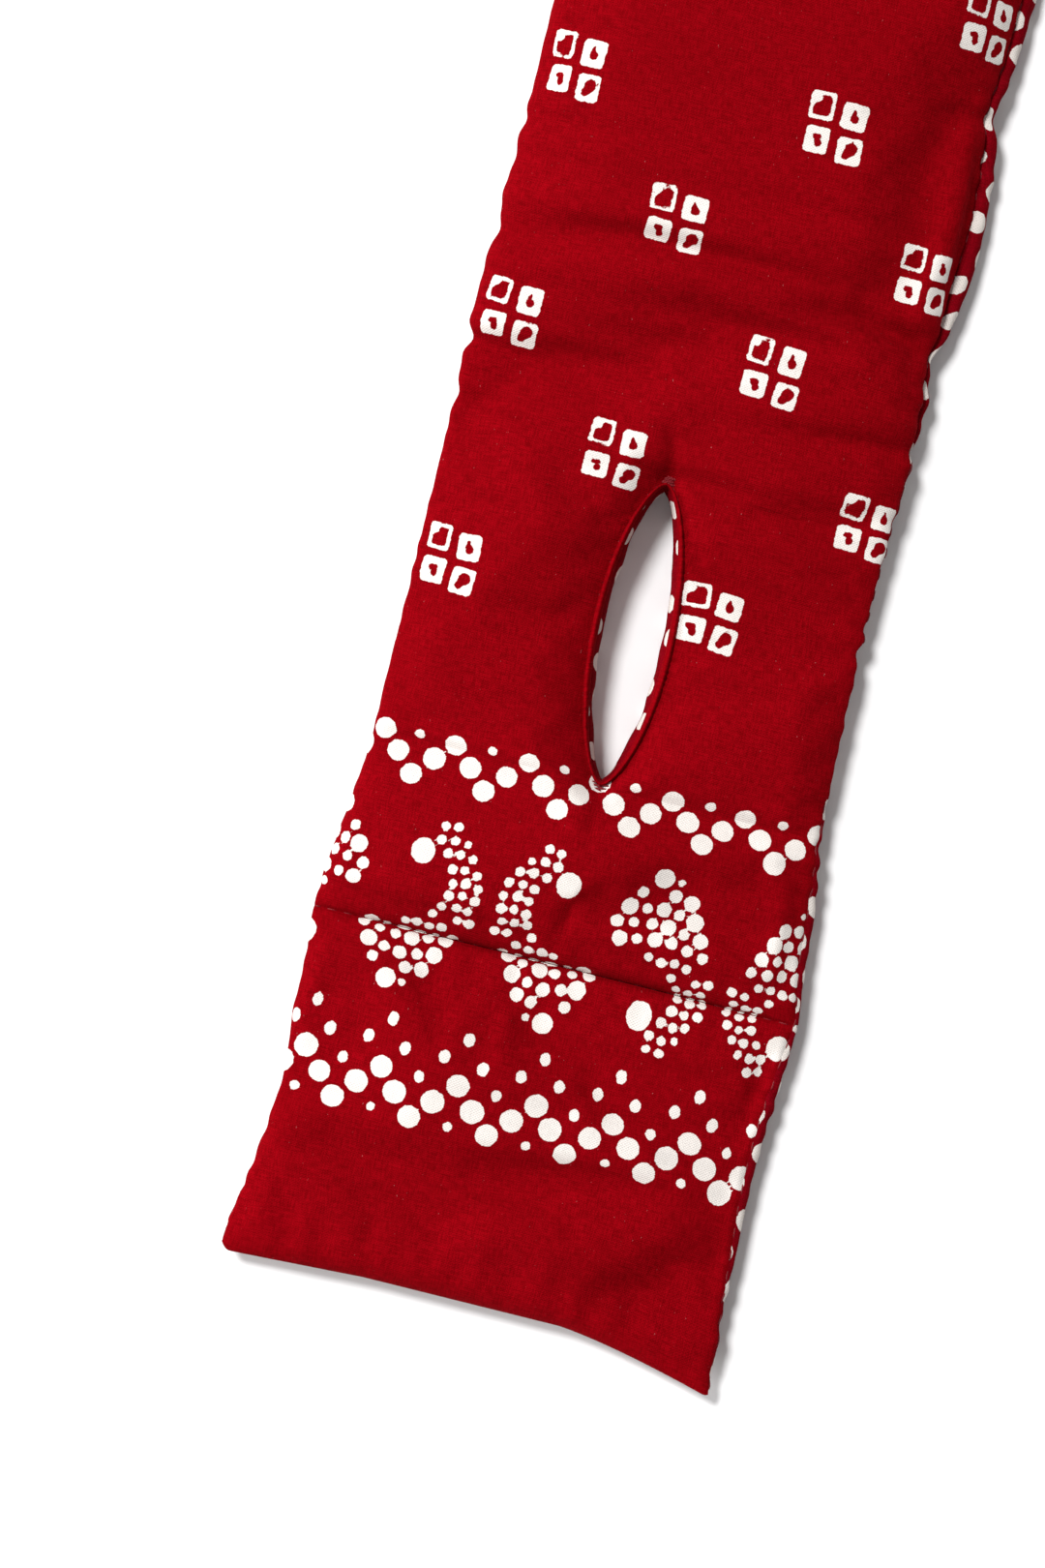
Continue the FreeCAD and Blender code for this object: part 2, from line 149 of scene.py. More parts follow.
# How far each side stands from the plain half-width: the puffed cloth pulls in and out again.
near, quilt, slit = NEAR_EDGE, NEAR_QUILT, SLIT_MIDDLE
LEFT_KNOTS = [
    (near, 6.2), (near + 10, 5.7), (near + 21, 2.6), (near + 37, -0.2), (near + 53, -1.9),
    (near + 69, 1.2), (quilt - 14, 2.4), (quilt - 1, 3.8), (quilt + 16, 2.0), (quilt + 34, -0.8),
    (quilt + 50, -2.1), (quilt + 66, 0.0), (slit + 46, 0.1), (slit + 78, 1.4), (slit + 100, 1.0),
    (slit + 158, 1.8), (slit + 185, 0.8), (0, 0.3)]
RIGHT_KNOTS = [
    (near, 4.9), (near + 10, 4.2), (near + 21, 2.4), (near + 37, 1.5), (near + 53, 0.3),
    (near + 69, 1.0), (quilt - 14, 3.2), (quilt - 1, 4.3), (quilt + 16, 2.5), (quilt + 34, 0.2),
    (quilt + 50, -3.8), (quilt + 66, -3.7), (slit + 22, -6.2), (slit + 46, -4.9),
    (slit + 62, -2.9), (slit + 80, -2.2), (slit + 90, -4.6), (slit + 99, -1.0),
    (slit + 150, 0.0), (slit + 159, -3.0), (slit + 170, -0.4), (0, 0.2)]
CENTRE_KNOTS = [(near, -0.4), (quilt, 0.2), (slit - 40, 0.0), (slit + 40, -2.2), (slit + 110, -1.2),
                (0, 0.0)]
ROLL_KNOTS = [
    (near, 0.0), (near + 16, 0.6), (near + 40, 3.2), (quilt - 12, 3.0), (quilt, 1.4),
    (quilt + 14, 3.4), (quilt + 44, 2.6), (quilt + 62, 0.5), (slit + 20, 0.3), (slit + 62, 1.6),
    (slit + 84, 2.2), (slit + 92, 2.2), (slit + 108, 4.2), (slit + 140, 3.6), (slit + 180, 4.2),
    (FAR_QUILT - 60, 3.0), (FAR_QUILT, 0.8), (FAR_EDGE - 30, 1.5), (FAR_EDGE, 0.0)]
centre = smooth_through(ROWS, CENTRE_KNOTS)
roll = smooth_through(ROWS, ROLL_KNOTS)
half_width = {}
for side, knots in ((-1, LEFT_KNOTS), (1, RIGHT_KNOTS)):
    mirrored = [(-y, change) for y, change in knots[9::-1]]
    half_width[side] = HALF_WIDTH + smooth_through(ROWS, knots + mirrored) - side * centre


def fullness(distance, reach):
    """Share of full thickness a distance from a seam: a quarter-round that levels out."""
    share = np.clip(distance / reach, 0, 1)
    return np.sqrt(1 - (1 - share) ** 2)


def thickness(rows):
    """Share of full thickness along the strip: flat at the end seams and the quilting lines."""
    share = fullness(rows - NEAR_EDGE, 24.0) ** 1.15 * fullness(FAR_EDGE - rows, 24.0) ** 1.15
    for line, below, above in ((NEAR_QUILT, 26.0, 13.0), (FAR_QUILT, 13.0, 26.0)):
        reach = np.where(rows < line, below, above)
        puff = fullness(np.abs(rows - line), reach) ** np.where(reach < 20, 1.05, 0.95)
        share = share * (0.04 + 0.96 * puff)
    return share


def slit_half(rows, opening):
    """Half-width of the slit at each row for an opening (half-width, reach past each tip)."""
    widest, beyond = opening
    share = np.clip((rows - SLIT_LOW + beyond) / (SLIT_LONG + 2 * beyond), 0, 1)
    return widest * (4 * share * (1 - share)) ** 0.62


def slit_outline(opening, count):
    """Closed outline of an opening as (x, y) points, up the right side and down the left."""
    share = (1 - np.cos(np.linspace(0, math.pi, count))) / 2
    rows = SLIT_LOW - opening[1] + share * (SLIT_LONG + 2 * opening[1])
    middle = np.interp(rows, ROWS, centre)
    half = slit_half(rows, opening)
    right = np.stack([middle + half, rows], 1)
    left = np.stack([middle - half, rows], 1)
    return np.concatenate([right, left[::-1][1:-1]])


def half_loops(side):
    """The cross-section of one side, top centre out and round to bottom centre, for every row.

    Returns x and z away from the centre line, the outward normal, and the length along the loop
    to each point and to the outermost one.
    """
    angle = np.linspace(0, math.pi / 2, 241)
    reach, up = np.sin(angle) ** (2 / 2.6), np.cos(angle)
    down = np.cos(angle) ** 0.55
    rise = RISE * thickness(ROWS) + 0.25
    drop = DROP * np.clip(thickness(ROWS) * 1.15, 0, 1) + 0.25
    x = half_width[side][:, None] * np.concatenate([reach, reach[::-1][1:]])[None, :]
    z = np.concatenate([rise[:, None] * up[None, :], -drop[:, None] * down[::-1][None, 1:]], 1)
    step_x, step_z = np.gradient(x, axis=1), np.gradient(z, axis=1)
    size = np.hypot(step_x, step_z) + 1e-9
    length = np.concatenate(
        [np.zeros((len(ROWS), 1)),
         np.cumsum(np.hypot(np.diff(x, axis=1), np.diff(z, axis=1)), axis=1)], axis=1)
    return x, z, -step_z / size, step_x / size, length, length[:, len(angle) - 1]


LOOPS = {side: half_loops(side) for side in (-1, 1)}
slit_line = slit_outline(FRONT_SLIT, 81)


def distance_to_slit(x, y):
    """Distance to the slit's stitched groove, for every point."""
    least = np.full(x.shape, 1e9)
    near_slit = (y > SLIT_LOW - 30) & (y < SLIT_HIGH + 30) & (np.abs(x) < 45)
    px, py = x[near_slit], y[near_slit]
    if len(px):
        found = np.full(px.shape, 1e9)
        for cx, cy in slit_line:
            found = np.minimum(found, (px - cx) ** 2 + (py - cy) ** 2)
        least[near_slit] = np.sqrt(found)
    return least


def creases(x, y):
    """Single soft folds of the front: two pinches on the right edge and one above the slit."""
    depth = np.zeros_like(x)
    folds = (
        (63.0, slit + 91, 30.0, -0.20, 2.6, 3.0),
        (64.0, slit + 158, 24.0, 0.22, 2.2, 3.2),
        (-2.5, SLIT_HIGH + 8, 9.0, -3.5, 1.2, 2.2),
        (-2.0, SLIT_HIGH + 3, 16.0, 0.05, 0.9, 2.4),
        (-64.0, slit + 97, 34.0, 0.05, 1.6, 3.4),
        (-58.0, slit + 66, 36.0, -0.16, 2.3, 3.0),
        (-60.0, slit + 52, 26.0, -0.10, 1.5, 2.6),
        (56.0, slit + 66, 34.0, 0.10, 2.3, 2.8),
        (44.0, slit + 76, 30.0, -0.05, 1.4, 2.4),
        (60.0, slit + 10, 26.0, -0.25, 1.3, 3.6),
        (-52.0, slit - 6, 22.0, -0.22, 1.0, 3.6))
    for from_x, from_y, long, slope, deep, wide in folds:
        scale = math.hypot(1, slope)
        across = ((y - from_y) - slope * (x - from_x)) / scale
        along = ((x - from_x) + slope * (y - from_y)) / scale
        depth += deep * np.exp(-(across / wide) ** 2) * np.exp(-(along / long) ** 2)
    return depth


def shift_along(x, y):
    """How far points move along the strip: the hollowed, slanting near end and its rounded ears."""
    right = np.clip((x - 24) / 46, 0, 1) ** 1.35 * 9.5
    left = np.clip((-x - 30) / 40, 0, 1) * 2.0
    fade = np.exp(-(y - NEAR_EDGE) / 34)
    moved = (4.6 - right - left) * fade
    corner = np.clip((np.abs(x) - (EAR_HALF - 3.2)) / 3.2, 0, 1)
    moved = moved + 2.4 * corner ** 2.5 * np.exp(-(y - NEAR_EDGE) / 2.5)
    far_hollow = 5.5 * (1 - (np.clip(np.abs(x) / EAR_HALF, 0, 1)) ** 2)
    moved = moved - far_hollow * np.exp(-(FAR_EDGE - y) / 34)
    return moved - 2.4 * corner ** 2.5 * np.exp(-(FAR_EDGE - y) / 2.5)


def half_cloth(side, is_front):
    """Points of one side of a cloth, from its middle or the slit out to the edge seam."""
    x, z, normal_x, normal_z, length, equator = LOOPS[side]
    seam = equator - side * roll
    inner = slit_half(ROWS, FRONT_SLIT if is_front else BACK_SLIT)
    share = np.linspace(0, 1, COLUMNS + 1)
    start = inner if is_front else length[:, -1] - inner
    along = start[:, None] + (seam - start)[:, None] * share[None, :]
    taken = [np.empty_like(along) for _ in range(4)]
    for row in range(len(ROWS)):
        for values, source in zip(taken, (x, z, normal_x, normal_z)):
            values[row] = np.interp(along[row], length[row], source[row])
    px, pz, nx, nz = taken
    row_y = np.broadcast_to(ROWS[:, None], px.shape)
    to_seam = np.abs(along - seam[:, None])
    shown_x = side * px + centre[:, None]
    fullness_here = thickness(ROWS)[:, None] * np.ones_like(px)
    to_quilt = np.minimum(np.abs(row_y - NEAR_QUILT), np.abs(row_y - FAR_QUILT))
    to_end = np.minimum(row_y - NEAR_EDGE, FAR_EDGE - row_y)

    move = -0.75 * np.exp(-(to_seam / 0.9) ** 2)
    pucker = uneven_wave(row_y, 8.5, 11 + side)
    strength = (0.26 if side < 0 else 0.40) * (1 + 0.7 * uneven_wave(row_y, 60.0, 31 + side))
    move += strength * pucker * np.exp(-(to_seam / 7.5) ** 1.3) * np.clip(fullness_here * 1.4, 0, 1)
    along_quilt = uneven_wave(shown_x, 9.5, 21)
    move += 0.40 * along_quilt * np.exp(-(to_quilt / 6.5) ** 1.5) * (1 - np.exp(-(to_quilt / 2) ** 2))
    move += 0.35 * uneven_wave(shown_x, 10.5, 22) * np.exp(-(to_end / 9.0) ** 1.5) \
        * (1 - np.exp(-(to_end / 2.5) ** 2))
    off_seam = 1 - np.exp(-(to_seam / 5.0) ** 2)
    if is_front:
        in_field = hump(row_y, slit + 85, 42) * 0.80 + 0.20
        move += off_seam * in_field * ripples(shown_x, row_y, 30.0, 2.7, 41)
        move += off_seam * 0.55 * ripples(shown_x, row_y, 26.0, 14.0, 42)
        to_slit = distance_to_slit(shown_x, row_y)
        move -= 5.0 * np.exp(-(to_slit / 5.0) ** 1.1) * np.clip(fullness_here, 0, 1)
        move -= creases(shown_x, row_y)
    else:
        move += off_seam * 0.35 * ripples(shown_x, row_y, 30.0, 9.0, 43)
        move -= creases(shown_x, row_y) * np.exp(-(to_seam / 6.0) ** 2)
    calm = np.clip(np.minimum(to_quilt, to_end) / 5, 0.0, 1)
    move *= 0.25 + 0.75 * calm
    px = px + nx * move
    pz = pz + nz * move
    world_x = side * px + centre[:, None]
    world_y = row_y + shift_along(world_x, row_y)
    world_z = np.maximum(pz + SEAM_Z, 0.15)
    flat_x = side * along + centre[:, None] if is_front else side * (length[:, -1:] - along)
    return np.stack([world_x, world_y, world_z], 2), flat_x


def closed_rows(is_front):
    """Which rows of a cloth are whole, above and below its slit."""
    beyond = (FRONT_SLIT if is_front else BACK_SLIT)[1]
    return (ROWS <= SLIT_LOW - beyond + 1e-6) | (ROWS >= SLIT_HIGH + beyond - 1e-6)


def whole_cloth(is_front):
    """Both sides of a cloth as one grid of points, with their place on the flat cloth."""
    left, flat_left = half_cloth(-1, is_front)
    right, flat_right = half_cloth(1, is_front)
    middle = (left[:, 0] + right[:, 0]) / 2
    closed = closed_rows(is_front)
    left[closed, 0] = middle[closed]
    right[closed, 0] = middle[closed]
    points = np.concatenate([left[:, ::-1], right], 1)
    flat_x = np.concatenate([flat_left[:, ::-1], flat_right], 1)
    steps = np.linalg.norm(np.diff(points[:, COLUMNS // 2], axis=0), axis=1)
    flat_y = np.concatenate([[0], np.cumsum(steps)])
    flat_y = np.broadcast_to(flat_y[:, None], flat_x.shape)
    return points, np.stack([flat_x, flat_y], 2)


front_points, front_flat = whole_cloth(True)
back_points, back_flat = whole_cloth(False)
SWELL_LIMIT = 5.0                   # the most the stuffing may move the cloth, in millimetres


def stuff_with_pressure():
    """Swell a coarse copy of both cloths by cloth simulation and return how far they moved.

    Sewn lines are pinned and gathered, so the loose cloth between them puckers as it fills.
    """
    every = 5
    wanted = np.concatenate([np.arange(NEAR_EDGE, FAR_EDGE, 4.2), [NEAR_QUILT, FAR_QUILT, FAR_EDGE]])
    rows = np.unique(np.clip(np.searchsorted(ROWS, np.sort(wanted)), 0, len(ROWS) - 1))
    half = COLUMNS + 1
    columns = np.concatenate([np.arange(0, half, every), half + np.arange(0, half, every)])
    inner = len(columns) // 2
    grids = [points[np.ix_(rows, columns)] for points in (front_points, back_points)]
    index = [np.arange(len(rows) * len(columns)).reshape(len(rows), -1) + offset
             for offset in (0, len(rows) * len(columns))]
    for end in (0, -1):
        index[1][:, end] = index[0][:, end]
        index[1][end] = index[0][end]
    faces = []
    sewn = np.zeros((2, len(rows), len(columns)))
    gathered = np.zeros_like(sewn)
    place = np.abs(np.arange(len(columns)) - (inner - 0.5)) - 0.5
    to_edge = (inner - 1 - place) * 4.3
    for cloth, number in enumerate(index):
        closed = closed_rows(cloth == 0)[rows]
        number[closed, inner] = number[closed, inner - 1]
        for column in range(len(columns) - 1):
            if column == inner - 1:
                continue
            ring = [number[:-1, column], number[:-1, column + 1],
                    number[1:, column + 1], number[1:, column]]
            faces += np.stack(ring if cloth == 0 else ring[::-1], 1).tolist()
        to_line = np.minimum(np.abs(ROWS[rows] - NEAR_QUILT), np.abs(ROWS[rows] - FAR_QUILT))
        to_end = np.minimum(ROWS[rows] - NEAR_EDGE, FAR_EDGE - ROWS[rows])
        sewn[cloth][(to_line < 1.0) | (to_end < 1.0)] = 1
        sewn[cloth][~closed, inner - 1:inner + 1] = 1
        gathered[cloth] = np.maximum(np.exp(-(np.minimum(to_line, to_end) / 5.0) ** 2)[:, None],
                                     np.exp(-(to_edge / 5.0) ** 2)[None, :])
    points = np.concatenate([grid.reshape(-1, 3) for grid in grids])
    kept, faces = np.unique(np.array(faces), return_inverse=True)
    mesh = bpy.data.meshes.new("stuffing_trial")
    mesh.from_pydata(points[kept] * MM, [], faces.reshape(-1, 4).tolist())
    trial = bpy.data.objects.new("stuffing_trial", mesh)
    bpy.context.scene.collection.objects.link(trial)
    for name, weights in (("sewn", sewn), ("gathered", gathered)):
        group = trial.vertex_groups.new(name=name)
        for place, weight in enumerate(weights.ravel()[kept]):
            group.add([place], float(weight), "REPLACE")
    cloth = trial.modifiers.new("stuffing", "CLOTH")
    cloth.settings.quality = 6
    cloth.settings.mass = 0.02
    cloth.settings.tension_stiffness = 20
    cloth.settings.compression_stiffness = 12
    cloth.settings.shear_stiffness = 6
    cloth.settings.bending_stiffness = 0.15
    cloth.settings.air_damping = 4
    cloth.settings.use_pressure = True
    cloth.settings.uniform_pressure_force = 1.5
    cloth.settings.effector_weights.gravity = 0
    cloth.settings.vertex_group_mass = "sewn"
    cloth.settings.vertex_group_shrink = "gathered"
    cloth.settings.shrink_min = -0.025
    cloth.settings.shrink_max = 0.05
    cloth.collision_settings.use_collision = False
    cloth.collision_settings.use_self_collision = False
    cloth.point_cache.frame_start = 1
    cloth.point_cache.frame_end = 24
    scene = bpy.context.scene
    for step in range(1, 21):
        scene.frame_set(step)
    settled = trial.evaluated_get(bpy.context.evaluated_depsgraph_get())
    final = np.empty(len(kept) * 3, np.float32)
    settled.data.vertices.foreach_get("co", final)
    moved = np.zeros_like(points)
    moved[kept] = final.reshape(-1, 3) / MM - points[kept]
    scene.frame_set(1)
    bpy.data.objects.remove(trial)
    size = np.linalg.norm(moved, axis=1, keepdims=True)
    moved *= np.minimum(1, SWELL_LIMIT / np.maximum(size, 1e-6))
    return [spread_over_grid(moved[number], rows, columns) for number in index]


def spread_over_grid(moved, rows, columns):
    """Carry coarse moves to every point of a cloth's grid, smoothly, with sewn lines left still."""
    tall = np.empty((len(ROWS), len(columns), 3))
    for column in range(len(columns)):
        for axis in range(3):
            tall[:, column, axis] = np.interp(np.arange(len(ROWS)), rows, moved[:, column, axis])
    halves = []
    for chosen in (slice(0, len(columns) // 2), slice(len(columns) // 2, None)):
        wide = np.empty((len(ROWS), COLUMNS + 1, 3))
        fine = np.arange(COLUMNS + 1)
        coarse = columns[chosen] % (COLUMNS + 1)
        for axis in range(3):
            for row in range(len(ROWS)):
                wide[row, :, axis] = np.interp(fine, coarse, tall[row, chosen, axis])
        for _ in range(8):
            wide[:, 1:-1] = (wide[:, :-2] + 2 * wide[:, 1:-1] + wide[:, 2:]) / 4
            wide[1:-1] = (wide[:-2] + 2 * wide[1:-1] + wide[2:]) / 4
        halves.append(wide)
    still = np.minimum(np.abs(ROWS - NEAR_QUILT), np.abs(ROWS - FAR_QUILT))
    still = np.minimum(still, np.minimum(ROWS - NEAR_EDGE, FAR_EDGE - ROWS))
    return np.concatenate(halves, 1) * (1 - np.exp(-(still / 8.0) ** 2))[:, None, None]


def swell(points, moved, is_front):
    """Add the stuffing's moves to a cloth, lying on the table and still round its slit."""
    held = np.exp(-(distance_to_slit(points[:, :, 0], points[:, :, 1]) / 2.0) ** 2)
    points += moved * (1 - held)[:, :, None]
    points[:, :, 2] = np.maximum(points[:, :, 2], 0.15)
    closed = closed_rows(is_front)
    middle = (points[closed, COLUMNS] + points[closed, COLUMNS + 1]) / 2
    points[closed, COLUMNS] = middle
    points[closed, COLUMNS + 1] = middle


front_moved, back_moved = stuff_with_pressure()
swell(front_points, front_moved, True)
swell(back_points, back_moved, False)


def grid_normals(points, is_front):
    """Smooth normals of the whole cloth, so that its pieces match where they meet."""
    along = np.gradient(points, axis=0)
    left, right = points[:, :COLUMNS + 1], points[:, COLUMNS + 1:]
    across = np.concatenate([np.gradient(left, axis=1), np.gradient(right, axis=1)], 1)
    normal = np.cross(across, along)
    closed = closed_rows(is_front)
    joined = normal[:, COLUMNS] + normal[:, COLUMNS + 1]
    normal[closed, COLUMNS] = joined[closed]
    normal[closed, COLUMNS + 1] = joined[closed]
    normal /= np.linalg.norm(normal, axis=2)[:, :, None] + 1e-12
    return normal if is_front else -normal


def cloth_piece(name, points, flat, normals, print_edge, first, last, is_front):
    """A mesh of the cloth's rows from first to last, with its flat place and its print."""
    rows = np.arange(first, last + 1)
    width = points.shape[1]
    index = np.arange(len(rows) * width).reshape(len(rows), width)
    closed = closed_rows(is_front)[rows]
    index[closed, COLUMNS + 1] = index[closed, COLUMNS]
    kept, renumbered = np.unique(index, return_inverse=True)
    index = renumbered.reshape(index.shape)
    columns = [column for column in range(width - 1) if column != COLUMNS]
    a, b = index[:-1][:, columns], index[:-1][:, np.array(columns) + 1]
    c, d = index[1:][:, np.array(columns) + 1], index[1:][:, columns]
    faces = np.stack([a, b, c, d] if is_front else [d, c, b, a], 2).reshape(-1, 4)

    def pick(values):
        return values[first:last + 1].reshape(len(rows) * width, -1)[kept]

    mesh = bpy.data.meshes.new(name)
    mesh.from_pydata(pick(points) * MM, [], faces.tolist())
    mesh.polygons.foreach_set("use_smooth", np.ones(len(faces), bool))
    corners = np.empty(len(mesh.loops), np.int32)
    mesh.loops.foreach_get("vertex_index", corners)
    layer = mesh.uv_layers.new(name="cloth")
    layer.data.foreach_set("uv", (pick(flat)[corners] * MM).astype(np.float32).ravel())
    attribute = mesh.attributes.new("print_edge", "FLOAT", "POINT")
    attribute.data.foreach_set("value", pick(print_edge).astype(np.float32).ravel())
    mesh.normals_split_custom_set_from_vertices(pick(normals))
    mesh.validate()
    piece = bpy.data.objects.new(name, mesh)
    bpy.context.scene.collection.objects.link(piece)
    return piece


# The print: signed distance to the edge of the off-white, in millimetres, negative on it.
flat_rows = front_flat[:, 0, 1]


def on_cloth(y):
    """Place along the flat cloth of a place along the lying strip."""
    return float(np.interp(y, ROWS, flat_rows))


UNPRINTED = 9.0                     # a distance from any print that leaves the cloth plain
front_edge = np.full(front_flat.shape[:2], UNPRINTED)


def print_shape(edge, flat, x, y, reach, shape):
    """Add one printed shape, whose distances shape() gives from places about its middle."""
    first, last = np.searchsorted(flat[:, 0, 1], (y - reach, y + reach))
    if last > first:
        part = flat[first:last]
        near_x = np.abs(part[:, :, 0] - x) < reach
        if near_x.any():
            distance = shape(part[:, :, 0][near_x] - x, part[:, :, 1][near_x] - y)
            edge[first:last][near_x] = np.minimum(edge[first:last][near_x], distance)


def dot(x, y, radius, long=1.0):
    """Print one dot, a little wobbly in size and place."""
    size = radius * (1 + rng.normal(0, 0.035))
    x, y = x + rng.normal(0, 0.12), y + rng.normal(0, 0.12)
    print_shape(front_edge, front_flat, x, y, radius + 3,
                lambda dx, dy: np.hypot(dx, dy / long) - size)


def small_square(x, y, kind):
    """Print one rounded square with a red shape left open in it: a hook, a drop, a tooth, a bean."""
    turn = rng.normal(0, 0.04)
    wide = 3.25 * (1 + rng.normal(0, 0.03))
    tall = 3.55 * (1 + rng.normal(0, 0.03))

    def box(px, py, half_wide, half_tall, round_by):
        qx, qy = np.abs(px) - half_wide + round_by, np.abs(py) - half_tall + round_by
        outside = np.hypot(np.maximum(qx, 0), np.maximum(qy, 0))
        return outside + np.minimum(np.maximum(qx, qy), 0) - round_by

    def shape(dx, dy):
        px = dx * math.cos(turn) + dy * math.sin(turn)
        py = dy * math.cos(turn) - dx * math.sin(turn)
        square = box(px, py, wide, tall, 0.9)
        if kind == 0:
            left_open = np.maximum(box(px, py, wide - 1.0, tall - 1.0, 0.8),
                                   1.3 - np.hypot(px + 1.7, py - 1.9))
        elif kind == 1:
            left_open = np.minimum(np.hypot(px - 0.1, py + 0.5) - 1.25,
                                   np.hypot((px + 0.3) * 1.6, py - 1.0) - 1.0)
        elif kind == 2:
            left_open = np.minimum(box(px + 0.1, py - 0.8, 1.3, 0.8, 0.6),
                                   np.hypot(px - 0.5, (py + 0.7) * 0.8) - 1.0)
        else:
            left_open = np.minimum(np.hypot(px - 0.5, py - 0.7) - 1.75,
                                   np.hypot(px + 0.6, py + 1.1) - 1.2)
        return np.maximum(square, -left_open)
    print_shape(front_edge, front_flat, x, y, 7, shape)


# The field: groups of four squares on a staggered lattice, with a hand printer's wander.
GROUP_X, GROUP_Y = 35.0, 69.5
end_of_slit = on_cloth(SLIT_LOW)
far_border = flat_rows[-1] - end_of_slit
for column in range(-2, 3):
    y = end_of_slit + (49.0 if column % 2 == 0 else 85.0) - GROUP_Y
    while y < far_border - 12:
        jitter_x, jitter_y = rng.normal(0, 0.8, 2)
        for kind in range(4):
            side_x, side_y = kind % 2 - 0.5, 0.5 - kind // 2
            if y > end_of_slit + 30:
                small_square(column * GROUP_X + 16.8 + jitter_x + side_x * 8.8 - side_y * 0.5,
                             y + jitter_y + side_y * 9.2 - side_x * 1.2, kind)
        y += GROUP_Y


# The borders: a zigzag of dots, dotted sprigs, and a larger zigzag, mirrored at the far end.
def zigzag(middle_x, y, way, height, pitch, radius):
    """A row of dots stepping up and down, four to a period; returns the place of each top."""
    for step in range(-17, 17):
        level = (0.5, 0.0, -0.5, 0.0)[step % 4]
        dot(middle_x + step * pitch, y + way * level * height, radius)
    return [middle_x + step * pitch for step in range(-16, 17, 4)]


def sprig(x, y, way, lean):
    """A comma of packed dots: a round head, a neck bending over at its tip, and one berry."""
    height = -12.8
    row = 0
    printed = []
    while height < 39.5:
        width = smooth_through(height, [(-13, 8), (-8, 18), (-3, 24), (2, 26), (7, 24), (11, 18.5),
                                        (15, 13.5), (20, 11), (27, 9.5), (33, 9), (39, 6)])
        middle = smooth_through(height, [(0, 0), (4, 1.5), (9, 6.5), (14, 11), (20, 13),
                                         (26, 12.5), (31, 9.5), (36, 6.5), (40, 5.5)])
        in_head = height < 5
        pitch = 4.55 if in_head else 3.45
        count = max(2, int(round(width / pitch)) - (0 if in_head or height > 16 else row % 2))
        sizes = (2.7, 1.5, 2.3, 1.7) if in_head else (1.36, 1.25, 1.4, 1.3)
        for place in range(count):
            across = place - (count - 1) / 2
            radius = sizes[(place + row) % 4]
            sag = 0.8 * (abs(across) - 1) if in_head else 0.5 * (place % 2)
            dot_x, dot_y = float(middle) + across * pitch, height + sag
            for other_x, other_y, other_radius in printed:
                room = math.hypot(dot_x - other_x, dot_y - other_y) - other_radius - 0.85
                radius = min(radius, room)
            if radius > 0.9:
                printed.append((dot_x, dot_y, radius))
                dot(x + lean * dot_x, y + way * dot_y, radius)
        height += 4.3 if in_head else 3.55
        row += 1
    dot(x + lean * 0.4, y + way * 29.5, 3.2, 1.1)


def border(edge_y, way):
    """Everything printed by one end, measured from its slit-side edge on the flat cloth."""
    def at(distance):
        return edge_y - way * distance
    for top in zigzag(-0.2, at(6.4), way, 10.6, 4.98, 2.95):
        dot(top + 9.9, at(0.2), 1.35)
    for number in range(-2, 3):
        pair_x = number * 66.4 - 21.7
        pair_way = way if number % 2 == 0 else -way
        for lean in (-1, 1):
            sprig(pair_x + lean * 20.0, at(60.5 if pair_way == way else 36.5), pair_way, -lean)
    for top in zigzag(-17.6, at(102.0), way, 11.0, 5.28, 3.15):
        dot(top, at(83.6), 1.45, 1.35)
        dot(top - 5.4, at(89.4), 1.5, 1.2)
        dot(top + 5.2, at(90.2), 1.5, 1.2)
        dot(top + 10.5, at(96.6), 1.35, 1.2)
        dot(top, at(107.6), 1.3)


border(end_of_slit, 1)
border(far_border, -1)

# ---- Back cloth print ------------------------------------------------------------------------
# The back cloth is a second length of cotton, darker red, printed with off-white polka dots in
# staggered rows.  It rolls up over the right side, and turns up inside the slit.

back_edge = np.full(back_flat.shape[:2], UNPRINTED)
DOT_PITCH = 10.5
DOT_CLOSE = 0.87                    # rows stand closer than the dots in a row, by this share
for row in range(int(back_flat[-1, 0, 1] / (DOT_PITCH * DOT_CLOSE)) + 1):
    for column in range(-8, 9):
        x = (column + 0.5 * (row % 2)) * DOT_PITCH + rng.normal(0, 0.25)
        y = row * DOT_PITCH * DOT_CLOSE + rng.normal(0, 0.25)
        size = 2.9 * (1 + rng.normal(0, 0.05))
        print_shape(back_edge, back_flat, x, y, 6, lambda dx, dy: np.hypot(dx, dy) - size)

# ---- Cotton cloth ----------------------------------------------------------------------------
# Both cloths are plain-weave cotton of uneven yarns, dyed red.  One weave serves both; each has
# its own dye, and its print lies on the yarns as an off-white paste.


def sockets(group, ins, outs):
    """Give a node group its inputs (name, type, default) and its outputs (name, type)."""
    for name, kind, default in ins:
        made = group.interface.new_socket(name=name, in_out="INPUT", socket_type=kind)
        if default is not None:
            made.default_value = default
    for name, kind in outs:
        group.interface.new_socket(name=name, in_out="OUTPUT", socket_type=kind)


